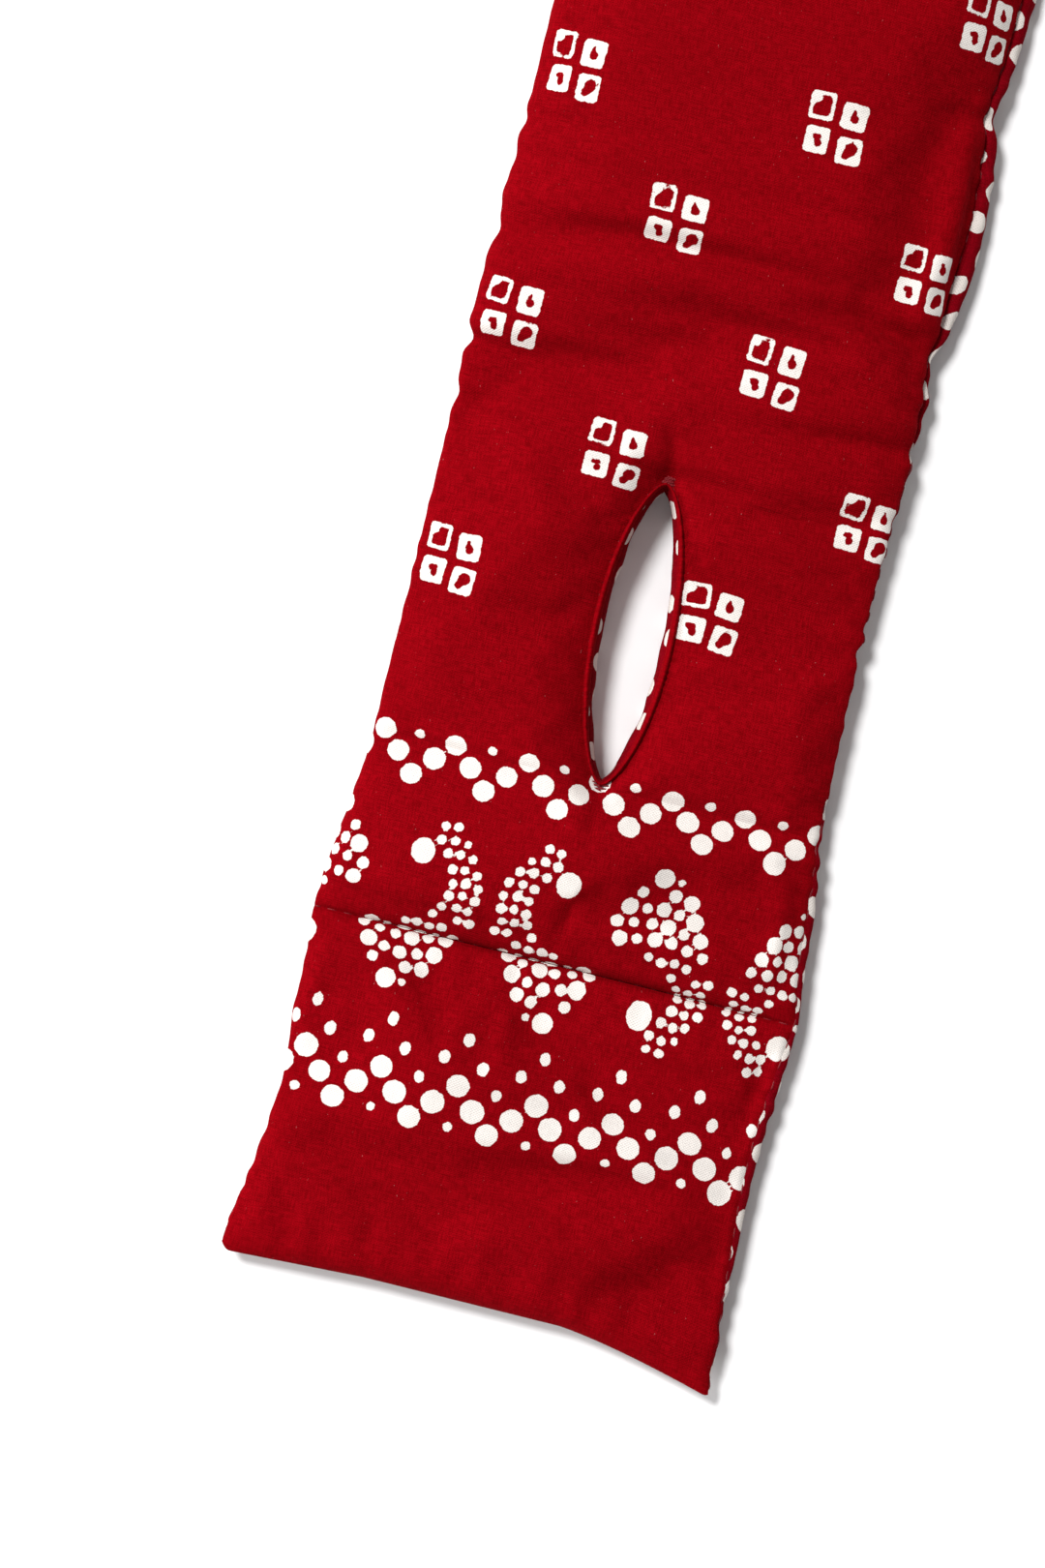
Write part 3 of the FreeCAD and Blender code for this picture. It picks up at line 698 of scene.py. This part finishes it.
class Nodes:
    """Short calls for building a node tree: each adds a node, links its inputs and returns it."""

    def __init__(self, tree):
        self.tree = tree

    def add(self, kind, settings=None, **inputs):
        made = self.tree.nodes.new(kind)
        for name, value in (settings or {}).items():
            setattr(made, name, value)
        for name, value in inputs.items():
            key = int(name[1:]) if name[0] == "i" and name[1:].isdigit() else name.replace("_", " ")
            if isinstance(value, bpy.types.NodeSocket):
                self.tree.links.new(value, made.inputs[key])
            else:
                made.inputs[key].default_value = value
        return made

    def math(self, operation, a, b=0.0, clamp=False):
        made = self.add("ShaderNodeMath", {"operation": operation, "use_clamp": clamp}, i0=a, i1=b)
        return made.outputs[0]

    def mix(self, factor, a, b, blend="MIX"):
        made = self.add("ShaderNodeMix", {"data_type": "RGBA", "blend_type": blend})
        for key, value in ((0, factor), (6, a), (7, b)):
            if isinstance(value, bpy.types.NodeSocket):
                self.tree.links.new(value, made.inputs[key])
            else:
                made.inputs[key].default_value = value
        return made.outputs[2]

    def ramp(self, value, low, high, from_value=0.0, to_value=1.0):
        made = self.add("ShaderNodeMapRange", {"interpolation_type": "SMOOTHSTEP"}, Value=value,
                        From_Min=low, From_Max=high, To_Min=from_value, To_Max=to_value)
        return made.outputs[0]

    def noise(self, vector, scale, detail=2.0, rough=0.5):
        made = self.add("ShaderNodeTexNoise", None, Vector=vector, Scale=scale, Detail=detail,
                        Roughness=rough)
        return made.outputs["Fac"]

    def stretched(self, vector, x, y):
        made = self.add("ShaderNodeVectorMath", {"operation": "MULTIPLY"}, i0=vector, i1=(x, y, 1))
        return made.outputs[0]


def build_plain_weave():
    """Node group: plain-weave cotton from its place on the flat cloth, in metres."""
    group = bpy.data.node_groups.new("plain_weave", "ShaderNodeTree")
    sockets(group, [("Place", "NodeSocketVector", None),
                    ("Threads across", "NodeSocketFloat", 2140.0),
                    ("Threads along", "NodeSocketFloat", 2760.0)],
            [("Height", "NodeSocketFloat"), ("Slub", "NodeSocketFloat"),
             ("Lint", "NodeSocketFloat"), ("Blotch", "NodeSocketFloat")])
    tree = Nodes(group)
    source = tree.add("NodeGroupInput")
    place = source.outputs["Place"]
    wobble = tree.noise(place, 900.0, 1.0)
    split = tree.add("ShaderNodeSeparateXYZ", None, i0=place)
    waves = []
    for axis, count in ((0, "Threads across"), (1, "Threads along")):
        turns = tree.math("MULTIPLY", split.outputs[axis], source.outputs[count])
        turns = tree.math("ADD", turns, tree.math("MULTIPLY", wobble, 0.9))
        waves.append(tree.math("SINE", tree.math("MULTIPLY", turns, math.pi)))
    weave = tree.math("ADD", tree.math("MULTIPLY", tree.math("MULTIPLY", waves[0], waves[1]), 0.5), 0.5)
    warp = tree.noise(tree.stretched(place, 2700.0, 300.0), 1.0, 2.0, 0.6)
    weft = tree.noise(tree.stretched(place, 230.0, 3300.0), 1.0, 2.0, 0.6)
    slub = tree.math("MULTIPLY", tree.math("ADD", warp, weft), 0.5)
    height = tree.math("ADD", tree.math("MULTIPLY", weave, 0.6), tree.math("MULTIPLY", slub, 0.9))
    fibre = tree.noise(tree.stretched(place, 1500.0, 700.0), 1.0, 2.0, 0.7)
    sparse = tree.noise(place, 260.0, 1.0)
    lint = tree.math("MULTIPLY", tree.ramp(fibre, 0.70, 0.76), tree.ramp(sparse, 0.50, 0.60))
    blotch = tree.noise(place, 38.0, 3.0, 0.55)
    sink = tree.add("NodeGroupOutput")
    for name, value in (("Height", height), ("Slub", slub), ("Lint", lint), ("Blotch", blotch)):
        group.links.new(value, sink.inputs[name])
    return group


plain_weave = build_plain_weave()


def cotton(name, dyed, dark, printed):
    """Woven cotton dyed one colour, with off-white print where the print edge is negative."""
    material = bpy.data.materials.new(name)
    material.use_nodes = True
    tree = Nodes(material.node_tree)
    shader = material.node_tree.nodes["Principled BSDF"]
    place = tree.add("ShaderNodeUVMap", {"uv_map": "cloth"}).outputs[0]
    weave = tree.add("ShaderNodeGroup", {"node_tree": plain_weave}, Place=place)
    slub = tree.ramp(weave.outputs["Slub"], 0.36, 0.64)
    colour = tree.mix(slub, dark, dyed)
    # Painted shade: where the weave is low, in the hollows between the yarns, the red is darkened.
    painted_gap_shade = tree.ramp(weave.outputs["Height"], 0.45, 0.85, 0.42, 0.0)
    colour = tree.mix(painted_gap_shade, colour, tuple(part * 0.45 for part in dark[:3]) + (1,))
    colour = tree.mix(tree.ramp(weave.outputs["Blotch"], 0.35, 0.7, 0.0, 0.22), colour, dark)
    colour = tree.mix(tree.math("MULTIPLY", weave.outputs["Lint"], 0.38), colour, (0.62, 0.30, 0.30, 1))
    edge = tree.add("ShaderNodeAttribute", {"attribute_name": "print_edge"}).outputs["Fac"]
    wander = tree.noise(place, 700.0, 2.0, 0.6)
    edge = tree.math("ADD", edge, tree.math("MULTIPLY", tree.math("SUBTRACT", wander, 0.5), 0.75))
    mask = tree.ramp(edge, -0.07, 0.09, 1.0, 0.0)
    # Painted shade on the print: the off-white is darkened in the weave's hollows, where the weave is
    # low.
    print_lit_share = tree.ramp(weave.outputs["Height"], 0.42, 0.80)
    print_painted_shade = tuple(part * 0.72 for part in printed[:3]) + (1,)
    paint = tree.mix(print_lit_share, print_painted_shade, printed)
    colour = tree.mix(mask, colour, paint)
    tree.tree.links.new(colour, shader.inputs["Base Color"])
    bump = tree.add("ShaderNodeBump", None, Height=weave.outputs["Height"], Strength=0.55,
                    Distance=0.00022)
    tree.tree.links.new(bump.outputs[0], shader.inputs["Normal"])
    shader.inputs["Roughness"].default_value = 0.88
    shader.inputs["Specular IOR Level"].default_value = 0.01
    shader.inputs["Sheen Weight"].default_value = 0.05
    shader.inputs["Sheen Roughness"].default_value = 0.45
    shader.inputs["Sheen Tint"].default_value = (1.0, 0.03, 0.05, 1)
    return material


printed_cotton = cotton("printed_red_cotton", (0.285, 0.0009, 0.0047, 1), (0.175, 0.0004, 0.0022, 1),
                        (0.80, 0.745, 0.70, 1))
dotted_cotton = cotton("dotted_dark_red_cotton", (0.23, 0.0012, 0.0065, 1), (0.15, 0.0006, 0.0035, 1),
                       (0.74, 0.68, 0.63, 1))

# ---- Front and back cloth pieces -------------------------------------------------------------
# Each cloth is one length, sewn to the other all round.  It is made as five pieces, one over each
# joint, which meet between the joints.

PANELS = ["near_end", "slit_panel", "near_middle", "far_middle", "far_panel", "far_end"]
cut_rows = [0] + [int(np.argmin(np.abs(ROWS - cut))) for cut in CUTS] + [len(ROWS) - 1]
front_normals = grid_normals(front_points, True)
back_normals = grid_normals(back_points, False)


def bend_over(piece):
    """Bake a piece's placement into its mesh points."""
    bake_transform(piece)


def panels_over(number):
    """The panels whose parts a piece over one joint stands for, each named once on the strip."""
    return PANELS[:2] if number == 0 else [PANELS[number + 1]]


for number in range(5):
    first, last = cut_rows[number], cut_rows[number + 1]
    nodes = panels_over(number)
    for cloth, points, flat, normals, edge, material in (
            ("front", front_points, front_flat, front_normals, front_edge, printed_cotton),
            ("back", back_points, back_flat, back_normals, back_edge, dotted_cotton)):
        piece = cloth_piece("%s_cloth_%d" % (cloth, number + 1), points, flat, normals, edge,
                            first, last, cloth == "front")
        piece.data.materials.append(material)
        bend_over(piece)
        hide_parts(*["%s_%s_cover" % (node, cloth) for node in nodes])

# ---- Rolled hem round the slit ---------------------------------------------------------------
# The front cloth is turned over the slit's edge and stitched down, which leaves a narrow rolled
# lip inside a stitched groove.  Below it the back cloth lines the slit down to the table side.


def edge_heights(points, outline, opening, is_front):
    """Height of a cloth's slit edge at every point of an outline."""
    open_rows = ~closed_rows(is_front)
    share = (ROWS[open_rows] - SLIT_LOW + opening[1]) / (SLIT_LONG + 2 * opening[1])
    count = len(outline) // 2 + 1
    wanted = (1 - np.cos(np.linspace(0, math.pi, count))) / 2
    right = np.interp(wanted, share, points[open_rows, COLUMNS + 1, 2])
    left = np.interp(wanted, share, points[open_rows, COLUMNS, 2])
    return np.concatenate([right, left[::-1][1:-1]])


RING = 241                          # points up each side of the slit
front_ring = slit_outline(FRONT_SLIT, RING)
front_ring_z = edge_heights(front_points, front_ring, FRONT_SLIT, True)
lip_ring = slit_outline(LIP_SLIT, RING)
back_ring = slit_outline(BACK_SLIT, RING)
back_ring_z = edge_heights(back_points, back_ring, BACK_SLIT, False)
ring_steps = np.linalg.norm(np.roll(lip_ring, -1, 0) - lip_ring, axis=1)
ring_place = np.concatenate([[0], np.cumsum(ring_steps)])


def ring_mesh(name, bands, flat_width, print_edge=None):
    """A mesh swept round the slit from bands of points, each a closed line of the same length."""
    bands = np.array(bands)
    steps, count = bands.shape[:2]
    index = np.arange(steps * count).reshape(steps, count)
    after = np.roll(index, -1, 1)
    faces = np.stack([index[:-1], after[:-1], after[1:], index[1:]], 2).reshape(-1, 4)
    mesh = bpy.data.meshes.new(name)
    mesh.from_pydata(bands.reshape(-1, 3) * MM, [], faces.tolist())
    mesh.polygons.foreach_set("use_smooth", np.ones(len(faces), bool))
    layer = mesh.uv_layers.new(name="cloth")
    across = np.linspace(0, flat_width, steps)
    flat = np.zeros((steps - 1, count, 4, 2))
    flat[:, :, (0, 3), 0] = ring_place[None, :-1, None]
    flat[:, :, (1, 2), 0] = ring_place[None, 1:, None]
    flat[:, :, (0, 1), 1] = across[:-1, None, None]
    flat[:, :, (2, 3), 1] = across[1:, None, None]
    layer.data.foreach_set("uv", (flat * MM).astype(np.float32).ravel())
    if print_edge is None:
        print_edge = np.full(bands.shape[:2], UNPRINTED)
    attribute = mesh.attributes.new("print_edge", "FLOAT", "POINT")
    attribute.data.foreach_set("value", print_edge.astype(np.float32).ravel())
    piece = bpy.data.objects.new(name, mesh)
    bpy.context.scene.collection.objects.link(piece)
    return piece


lip_wave = 0.14 * uneven_wave(ring_place[:-1], 6.0, 61)
bands = []
for share in np.linspace(-0.12, 1, 13):
    line = front_ring + (lip_ring - front_ring) * share
    hump_up = math.sin(math.pi * min(max(share, 0), 1)) ** 0.6
    height = -0.55 - 1.1 * max(share, 0) + (2.5 + lip_wave) * hump_up
    bands.append(np.column_stack([line, front_ring_z + height]))
lip_under_z = front_ring_z - 1.65
slit_lip = ring_mesh("slit_lip", bands, 4.0)
slit_lip.data.materials.append(printed_cotton)
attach(slit_lip, "slit_panel")
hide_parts("slit_front_hem")

inward = np.column_stack([np.interp(lip_ring[:, 1], ROWS, centre), lip_ring[:, 1]]) - lip_ring
inward /= np.linalg.norm(inward, axis=1)[:, None] + 1e-6
bands = []
WALL_STEPS = 25
for share in np.linspace(0, 1, WALL_STEPS):
    line = lip_ring + (back_ring - lip_ring) * share ** 2
    bulge = (1.35 + 0.25 * uneven_wave(ring_place[:-1], 16.0, 63)) * math.sin(math.pi * share ** 0.8)
    line = line + inward * (bulge - 0.15)[:, None]
    height = lip_under_z + 0.5 + (back_ring_z - lip_under_z - 0.8) * share
    height = np.maximum(height, 0.1)
    bands.append(np.column_stack([line, height]))
wall_deep = float(np.mean(lip_under_z - back_ring_z))
wall_edge = np.full((WALL_STEPS, len(lip_ring)), UNPRINTED)
wall_across = np.linspace(0, wall_deep, WALL_STEPS)[:, None]
for row in range(-7, 10):
    for column in range(int(ring_place[-1] / DOT_PITCH) + 1):
        x = (column + 0.5 * (row % 2)) * DOT_PITCH * 0.93 + rng.normal(0, 0.4)
        y = row * DOT_PITCH * 0.8 + x * 0.3 - 22 + rng.normal(0, 0.4)
        if -3 < y < wall_deep + 3:
            away = np.hypot(ring_place[None, :-1] - x, wall_across - y) - 2.5
            wall_edge = np.minimum(wall_edge, away)
slit_lining = ring_mesh("slit_lining", bands, wall_deep, wall_edge)
slit_lining.data.materials.append(dotted_cotton)
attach(slit_lining, "slit_panel")
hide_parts("slit_back_hem")

# ---- Sewing thread ---------------------------------------------------------------------------
# Red polyester-cotton sewing thread, half a millimetre thick, machine run along both quilting
# lines, the edge seams and the slit's groove, worked over and over at each tip of the slit, and
# whipped by hand over the far end, where the strip was filled and closed.

THREAD = 0.26                       # half the thread's thickness
QUILT_STITCH, QUILT_PITCH = 3.0, 4.5
EDGE_STITCH, EDGE_PITCH = 3.0, 6.0
SLIT_STITCH, SLIT_PITCH = 2.2, 3.2
CLOSED_HALF = 35.0                  # half of the gap that was closed by hand
CLOSING_PITCH = 5.0


def red_thread_material():
    """Twisted thread, a little shinier than the cloth, with painted shade in the grooves of its twist.
    """
    material = bpy.data.materials.new("red_sewing_thread")
    material.use_nodes = True
    tree = Nodes(material.node_tree)
    shader = material.node_tree.nodes["Principled BSDF"]
    place = tree.add("ShaderNodeTexCoord").outputs["Object"]
    twist = tree.add("ShaderNodeTexWave", {"wave_type": "BANDS", "bands_direction": "DIAGONAL"},
                     Vector=place, Scale=900.0, Distortion=1.5, Detail=1.0).outputs["Fac"]
    # Painted shade: the twist's bands darken the red where the grooves between its plies lie.
    colour = tree.mix(twist, (0.12, 0.001, 0.004, 1), (0.24, 0.002, 0.008, 1))
    tree.tree.links.new(colour, shader.inputs["Base Color"])
    bump = tree.add("ShaderNodeBump", None, Height=twist, Strength=0.6, Distance=0.00012)
    tree.tree.links.new(bump.outputs[0], shader.inputs["Normal"])
    shader.inputs["Roughness"].default_value = 0.55
    shader.inputs["Specular IOR Level"].default_value = 0.35
    return material


red_thread = red_thread_material()


def stitches(name, lines, *nodes):
    """Thread lying along short lines: six-sided, thinner where it dives into the cloth."""
    points = []
    faces = []
    for line in lines:
        line = np.asarray(line)
        ahead = np.gradient(line, axis=0)
        ahead /= np.linalg.norm(ahead, axis=1)[:, None] + 1e-9
        side = np.cross(ahead, (0, 0, 1.0))
        side /= np.linalg.norm(side, axis=1)[:, None] + 1e-9
        up = np.cross(side, ahead)
        thin = np.ones(len(line))
        thin[0] = thin[-1] = 0.35
        base = len(points)
        for place in range(len(line)):
            for corner in range(6):
                turn = corner * math.tau / 6
                points.append(line[place] + THREAD * thin[place]
                              * (side[place] * math.cos(turn) + up[place] * math.sin(turn)))
        for place in range(len(line) - 1):
            for corner in range(6):
                after = (corner + 1) % 6
                low, high = base + place * 6, base + place * 6 + 6
                faces.append((low + corner, high + corner, high + after, low + after))
        faces.append(tuple(base + corner for corner in range(6)))
        last = base + (len(line) - 1) * 6
        faces.append(tuple(last + 5 - corner for corner in range(6)))
    mesh = bpy.data.meshes.new(name)
    mesh.from_pydata([tuple(point * MM) for point in points], [], faces)
    mesh.polygons.foreach_set("use_smooth", np.ones(len(faces), bool))
    mesh.materials.append(red_thread)
    piece = bpy.data.objects.new(name, mesh)
    bpy.context.scene.collection.objects.link(piece)
    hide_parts(*nodes)
    return piece


def runs(path, long, pitch, lift, start=0.0, end=None):
    """Cut a path of points into stitches of one length at one pitch, raised a little above it."""
    path = np.asarray(path)
    place = np.concatenate([[0], np.cumsum(np.linalg.norm(np.diff(path, axis=0), axis=1))])
    end = place[-1] if end is None else end
    made = []
    while start + long <= end:
        spots = start + np.linspace(0, long, 5)
        line = np.stack([np.interp(spots, place, path[:, axis]) for axis in range(3)], 1)
        line[:, 2] += lift * np.sin(np.linspace(0, math.pi, 5)) - 0.1
        made.append(line)
        start += pitch
    return made


for name, line_y, number in (("near_quilting_thread", NEAR_QUILT, 0),
                             ("far_quilting_thread", FAR_QUILT, 4)):
    row = int(np.argmin(np.abs(ROWS - line_y)))
    path = np.delete(front_points[row], COLUMNS, 0)
    piece = stitches(name + "_run", runs(path, QUILT_STITCH, QUILT_PITCH, 0.3), name)
    bend_over(piece)

for number in range(5):
    first, last = cut_rows[number], cut_rows[number + 1]
    lines = []
    for column in (0, -1):
        out = 1 if column else -1
        path = front_points[first:last + 1, column] + np.array([out * 0.12, 0, 0])
        lines += runs(path, EDGE_STITCH, EDGE_PITCH, 0.0, 1.5)
    nodes = panels_over(number)
    piece = stitches("edge_run_%d" % (number + 1), lines, *["%s_edge_thread" % node for node in nodes])
    bend_over(piece)

loop = np.column_stack([front_ring, front_ring_z - 0.15])
slit_lines = runs(np.concatenate([loop, loop[:1]]), SLIT_STITCH, SLIT_PITCH, 0.0)
slit_run = stitches("slit_run", slit_lines, "slit_stitching")
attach(slit_run, "slit_panel")
for name, tip, way in (("slit_tack_lower", 0, -1), ("slit_tack_upper", RING - 1, 1)):
    lines = []
    tip_x, tip_y = front_ring[tip]
    for place in range(7):
        y = tip_y + way * (0.35 + place * 0.45) - way * 1.1
        lean = rng.normal(0, 0.35)
        reach = 2.6 + rng.normal(0, 0.35)
        x = tip_x + np.linspace(-reach, reach, 7)
        y = y + lean * np.linspace(-1, 1, 7)
        z = front_ring_z[tip] + 0.35 + 0.3 * np.sin(np.linspace(0, math.pi, 7))
        lines.append(np.stack([x, y, z], 1))
    piece = stitches(name + "_threads", lines, name)
    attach(piece, "slit_panel")

lines = []
end_line = (front_points[-1] + back_points[-1]) / 2
end_place = np.concatenate([[0], np.cumsum(np.linalg.norm(np.diff(end_line, axis=0), axis=1))])
for spot in np.arange(end_place[-1] / 2 - CLOSED_HALF, end_place[-1] / 2 + CLOSED_HALF, CLOSING_PITCH):
    middle = np.array([np.interp(spot, end_place, end_line[:, axis]) for axis in range(3)])
    turn = np.linspace(-1.15, 1.15, 9)
    reach = 1.5
    lines.append(middle + np.stack([np.linspace(-1.6, 1.6, 9), np.cos(turn) * reach - 1.15,
                                    np.sin(turn) * reach], 1))
piece = stitches("closing_run", lines, "far_closing_stitches")
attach(piece, "far_end")

# ---- Wadding ---------------------------------------------------------------------------------
# Matted off-white cotton wadding that fills the strip.  It shows only if a seam opens, so it is
# the inside shape of both cloths, drawn in a little and closed round the edges and the slit.


def wadding_material():
    """Matted, tufted off-white fibre."""
    material = bpy.data.materials.new("cotton_wadding")
    material.use_nodes = True
    tree = Nodes(material.node_tree)
    shader = material.node_tree.nodes["Principled BSDF"]
    place = tree.add("ShaderNodeTexCoord").outputs["Object"]
    tufts = tree.noise(place, 220.0, 5.0, 0.65)
    colour = tree.mix(tree.ramp(tufts, 0.3, 0.7), (0.62, 0.57, 0.48, 1), (0.84, 0.80, 0.72, 1))
    tree.tree.links.new(colour, shader.inputs["Base Color"])
    bump = tree.add("ShaderNodeBump", None, Height=tufts, Strength=0.8, Distance=0.001)
    tree.tree.links.new(bump.outputs[0], shader.inputs["Normal"])
    shader.inputs["Roughness"].default_value = 0.95
    shader.inputs["Specular IOR Level"].default_value = 0.1
    return material


wadding = wadding_material()


def wadding_piece(number):
    """The filling between the two cloths over one joint, set in from them by up to 2 mm."""
    first, last = cut_rows[number], cut_rows[number + 1]
    rows = np.unique(np.concatenate([np.arange(first, last, 2), [last]]))
    columns = np.concatenate([np.arange(8, COLUMNS + 1, 2), COLUMNS + 1 + np.arange(0, COLUMNS - 7, 2)])
    close = np.minimum(np.abs(ROWS - NEAR_QUILT), np.abs(ROWS - FAR_QUILT)) < 9
    close = np.nonzero(close[first:last + 1])[0] + first
    rows = np.unique(np.concatenate([rows, close]))
    inner = len(columns) // 2
    grids = []
    for points, normals in ((front_points, front_normals), (back_points, back_normals)):
        other = back_points if points is front_points else front_points
        gap = np.abs(points[:, :, 2] - other[:, :, 2])
        inset = np.minimum(2.0, 0.3 + 0.3 * gap)[:, :, None]
        set_in = points - normals * inset
        grids.append(set_in[np.ix_(rows, columns)])
    closed = closed_rows(True)[rows] & closed_rows(False)[rows]
    for grid in grids:
        middle = (grid[closed, inner - 1] + grid[closed, inner]) / 2
        grid[closed, inner - 1] = middle
        grid[closed, inner] = middle
        grid[~closed, inner - 1, 0] -= 1.2
        grid[~closed, inner, 0] += 1.2
    count = len(rows) * len(columns)
    top = np.arange(count).reshape(len(rows), -1)
    low = top + count
    for number_grid in (top, low):
        number_grid[closed, inner] = number_grid[closed, inner - 1]
    faces = []
    edges = {column: 2 * count + (column + 1) * len(rows) + np.arange(len(rows)) for column in (-1, 0)}
    rims = []
    for column in (-1, 0):
        seam = front_points[rows, column]
        rim = seam * 0.4 + (grids[0][:, column] + grids[1][:, column]) * 0.3
        way = 1 if column else -1
        rim[:, 0] = way * np.minimum(way * rim[:, 0], way * seam[:, 0] - 2.0)
        rims.append(rim)
    for row in range(len(rows) - 1):
        for column in range(len(columns) - 1):
            if column != inner - 1:
                a, b, c, d = (top[row, column], top[row, column + 1],
                              top[row + 1, column + 1], top[row + 1, column])
                faces.append((a, b, c, d))
                faces.append((d + count, c + count, b + count, a + count))
        for column, way in ((0, 1), (-1, -1)):
            rim = edges[column]
            faces.append((top[row, column], top[row + 1, column], rim[row + 1], rim[row])[::way])
            faces.append((rim[row], rim[row + 1], low[row + 1, column], low[row, column])[::way])
        if not (closed[row] and closed[row + 1]):
            faces.append((top[row, inner], top[row + 1, inner],
                          low[row + 1, inner], low[row, inner]))
            faces.append((top[row, inner - 1], low[row, inner - 1],
                          low[row + 1, inner - 1], top[row + 1, inner - 1]))
    for row, way in ((0, 1), (len(rows) - 1, -1)):
        line = list(dict.fromkeys(top[row]))
        under = list(dict.fromkeys(low[row]))
        for a, b, c, d in zip(line, line[1:], under[1:], under):
            faces.append((d, c, b, a)[::way])
        faces.append((top[row, 0], edges[0][row], low[row, 0])[::way])
        faces.append((low[row, -1], edges[-1][row], top[row, -1])[::way])
    kept = sorted(set(int(corner) for face in faces for corner in face))
    renumbered = {corner: place for place, corner in enumerate(kept)}
    points = np.concatenate([grid.reshape(-1, 3) for grid in grids] + rims)[kept]
    faces = [[renumbered[int(corner)] for corner in face] for face in faces]
    mesh = bpy.data.meshes.new("wadding_%d" % (number + 1))
    mesh.from_pydata(points * MM, [], faces)
    mesh.validate()
    mesh.polygons.foreach_set("use_smooth", np.ones(len(mesh.polygons), bool))
    mesh.materials.append(wadding)
    piece = bpy.data.objects.new(mesh.name, mesh)
    bpy.context.scene.collection.objects.link(piece)
    return piece


for number in range(5):
    nodes = panels_over(number)
    piece = wadding_piece(number)
    bend_over(piece)
    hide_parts(*["%s_wadding" % node for node in nodes])

# ---- Table, light and camera -----------------------------------------------------------------
# The strip lies on a table covered with white paper, under a broad light from the upper left and
# a low one from the side.  The camera looks straight down, turned so that the strip slants.

floor_mesh = bpy.data.meshes.new("table_top")
FLOOR = 4.0
floor_mesh.from_pydata([(-FLOOR, -FLOOR, 0), (FLOOR, -FLOOR, 0), (FLOOR, FLOOR, 0), (-FLOOR, FLOOR, 0)],
                       [], [(0, 1, 2, 3)])
floor = bpy.data.objects.new("table_top", floor_mesh)
bpy.context.scene.collection.objects.link(floor)
paper = bpy.data.materials.new("white_paper")
paper.use_nodes = True
paper_shader = paper.node_tree.nodes["Principled BSDF"]
paper_shader.inputs["Base Color"].default_value = (0.93, 0.93, 0.93, 1)
paper_shader.inputs["Roughness"].default_value = 0.9
paper_shader.inputs["Specular IOR Level"].default_value = 0.1
floor_mesh.materials.append(paper)

VIEW_TILT = math.radians(14.0)
camera_data = bpy.data.cameras.new("camera")
camera = bpy.data.objects.new("camera", camera_data)
bpy.context.scene.collection.objects.link(camera)
camera_data.lens = 100
camera_data.sensor_width = 36
SEEN_LENGTH = 0.4208                # length of the view along its long side, on the cloth
distance = SEEN_LENGTH * camera_data.lens / camera_data.sensor_width
camera.location = (-0.0204, SLIT_LOW * MM - 0.0064, distance + (SEAM_Z + RISE) * MM)
camera.rotation_euler = (0, 0, VIEW_TILT)
bpy.context.scene.camera = camera

world = bpy.data.worlds.new("studio")
world.use_nodes = True
world.node_tree.nodes["Background"].inputs[0].default_value = (1, 1, 1, 1)
world.node_tree.nodes["Background"].inputs[1].default_value = 0.32
bpy.context.scene.world = world


def soft_light(name, bearing, height, strength, softness):
    """A broad soft light from a bearing (degrees, 0 is +y, 90 is -x) and a height above level."""
    lamp = bpy.data.lights.new(name, "SUN")
    lamp.energy = strength
    lamp.angle = math.radians(softness)
    stand = bpy.data.objects.new(name, lamp)
    bpy.context.scene.collection.objects.link(stand)
    turn, lift = math.radians(bearing), math.radians(height)
    away = Vector((-math.sin(turn) * math.cos(lift), math.cos(turn) * math.cos(lift), math.sin(lift)))
    stand.rotation_euler = away.to_track_quat("Z", "Y").to_euler()
    stand.location = away * 2


soft_light("key_light", 52, 56, 3.15, 15)
soft_light("side_light", 100, 22, 2.2, 30)
bpy.context.scene.view_settings.view_transform = "Standard"
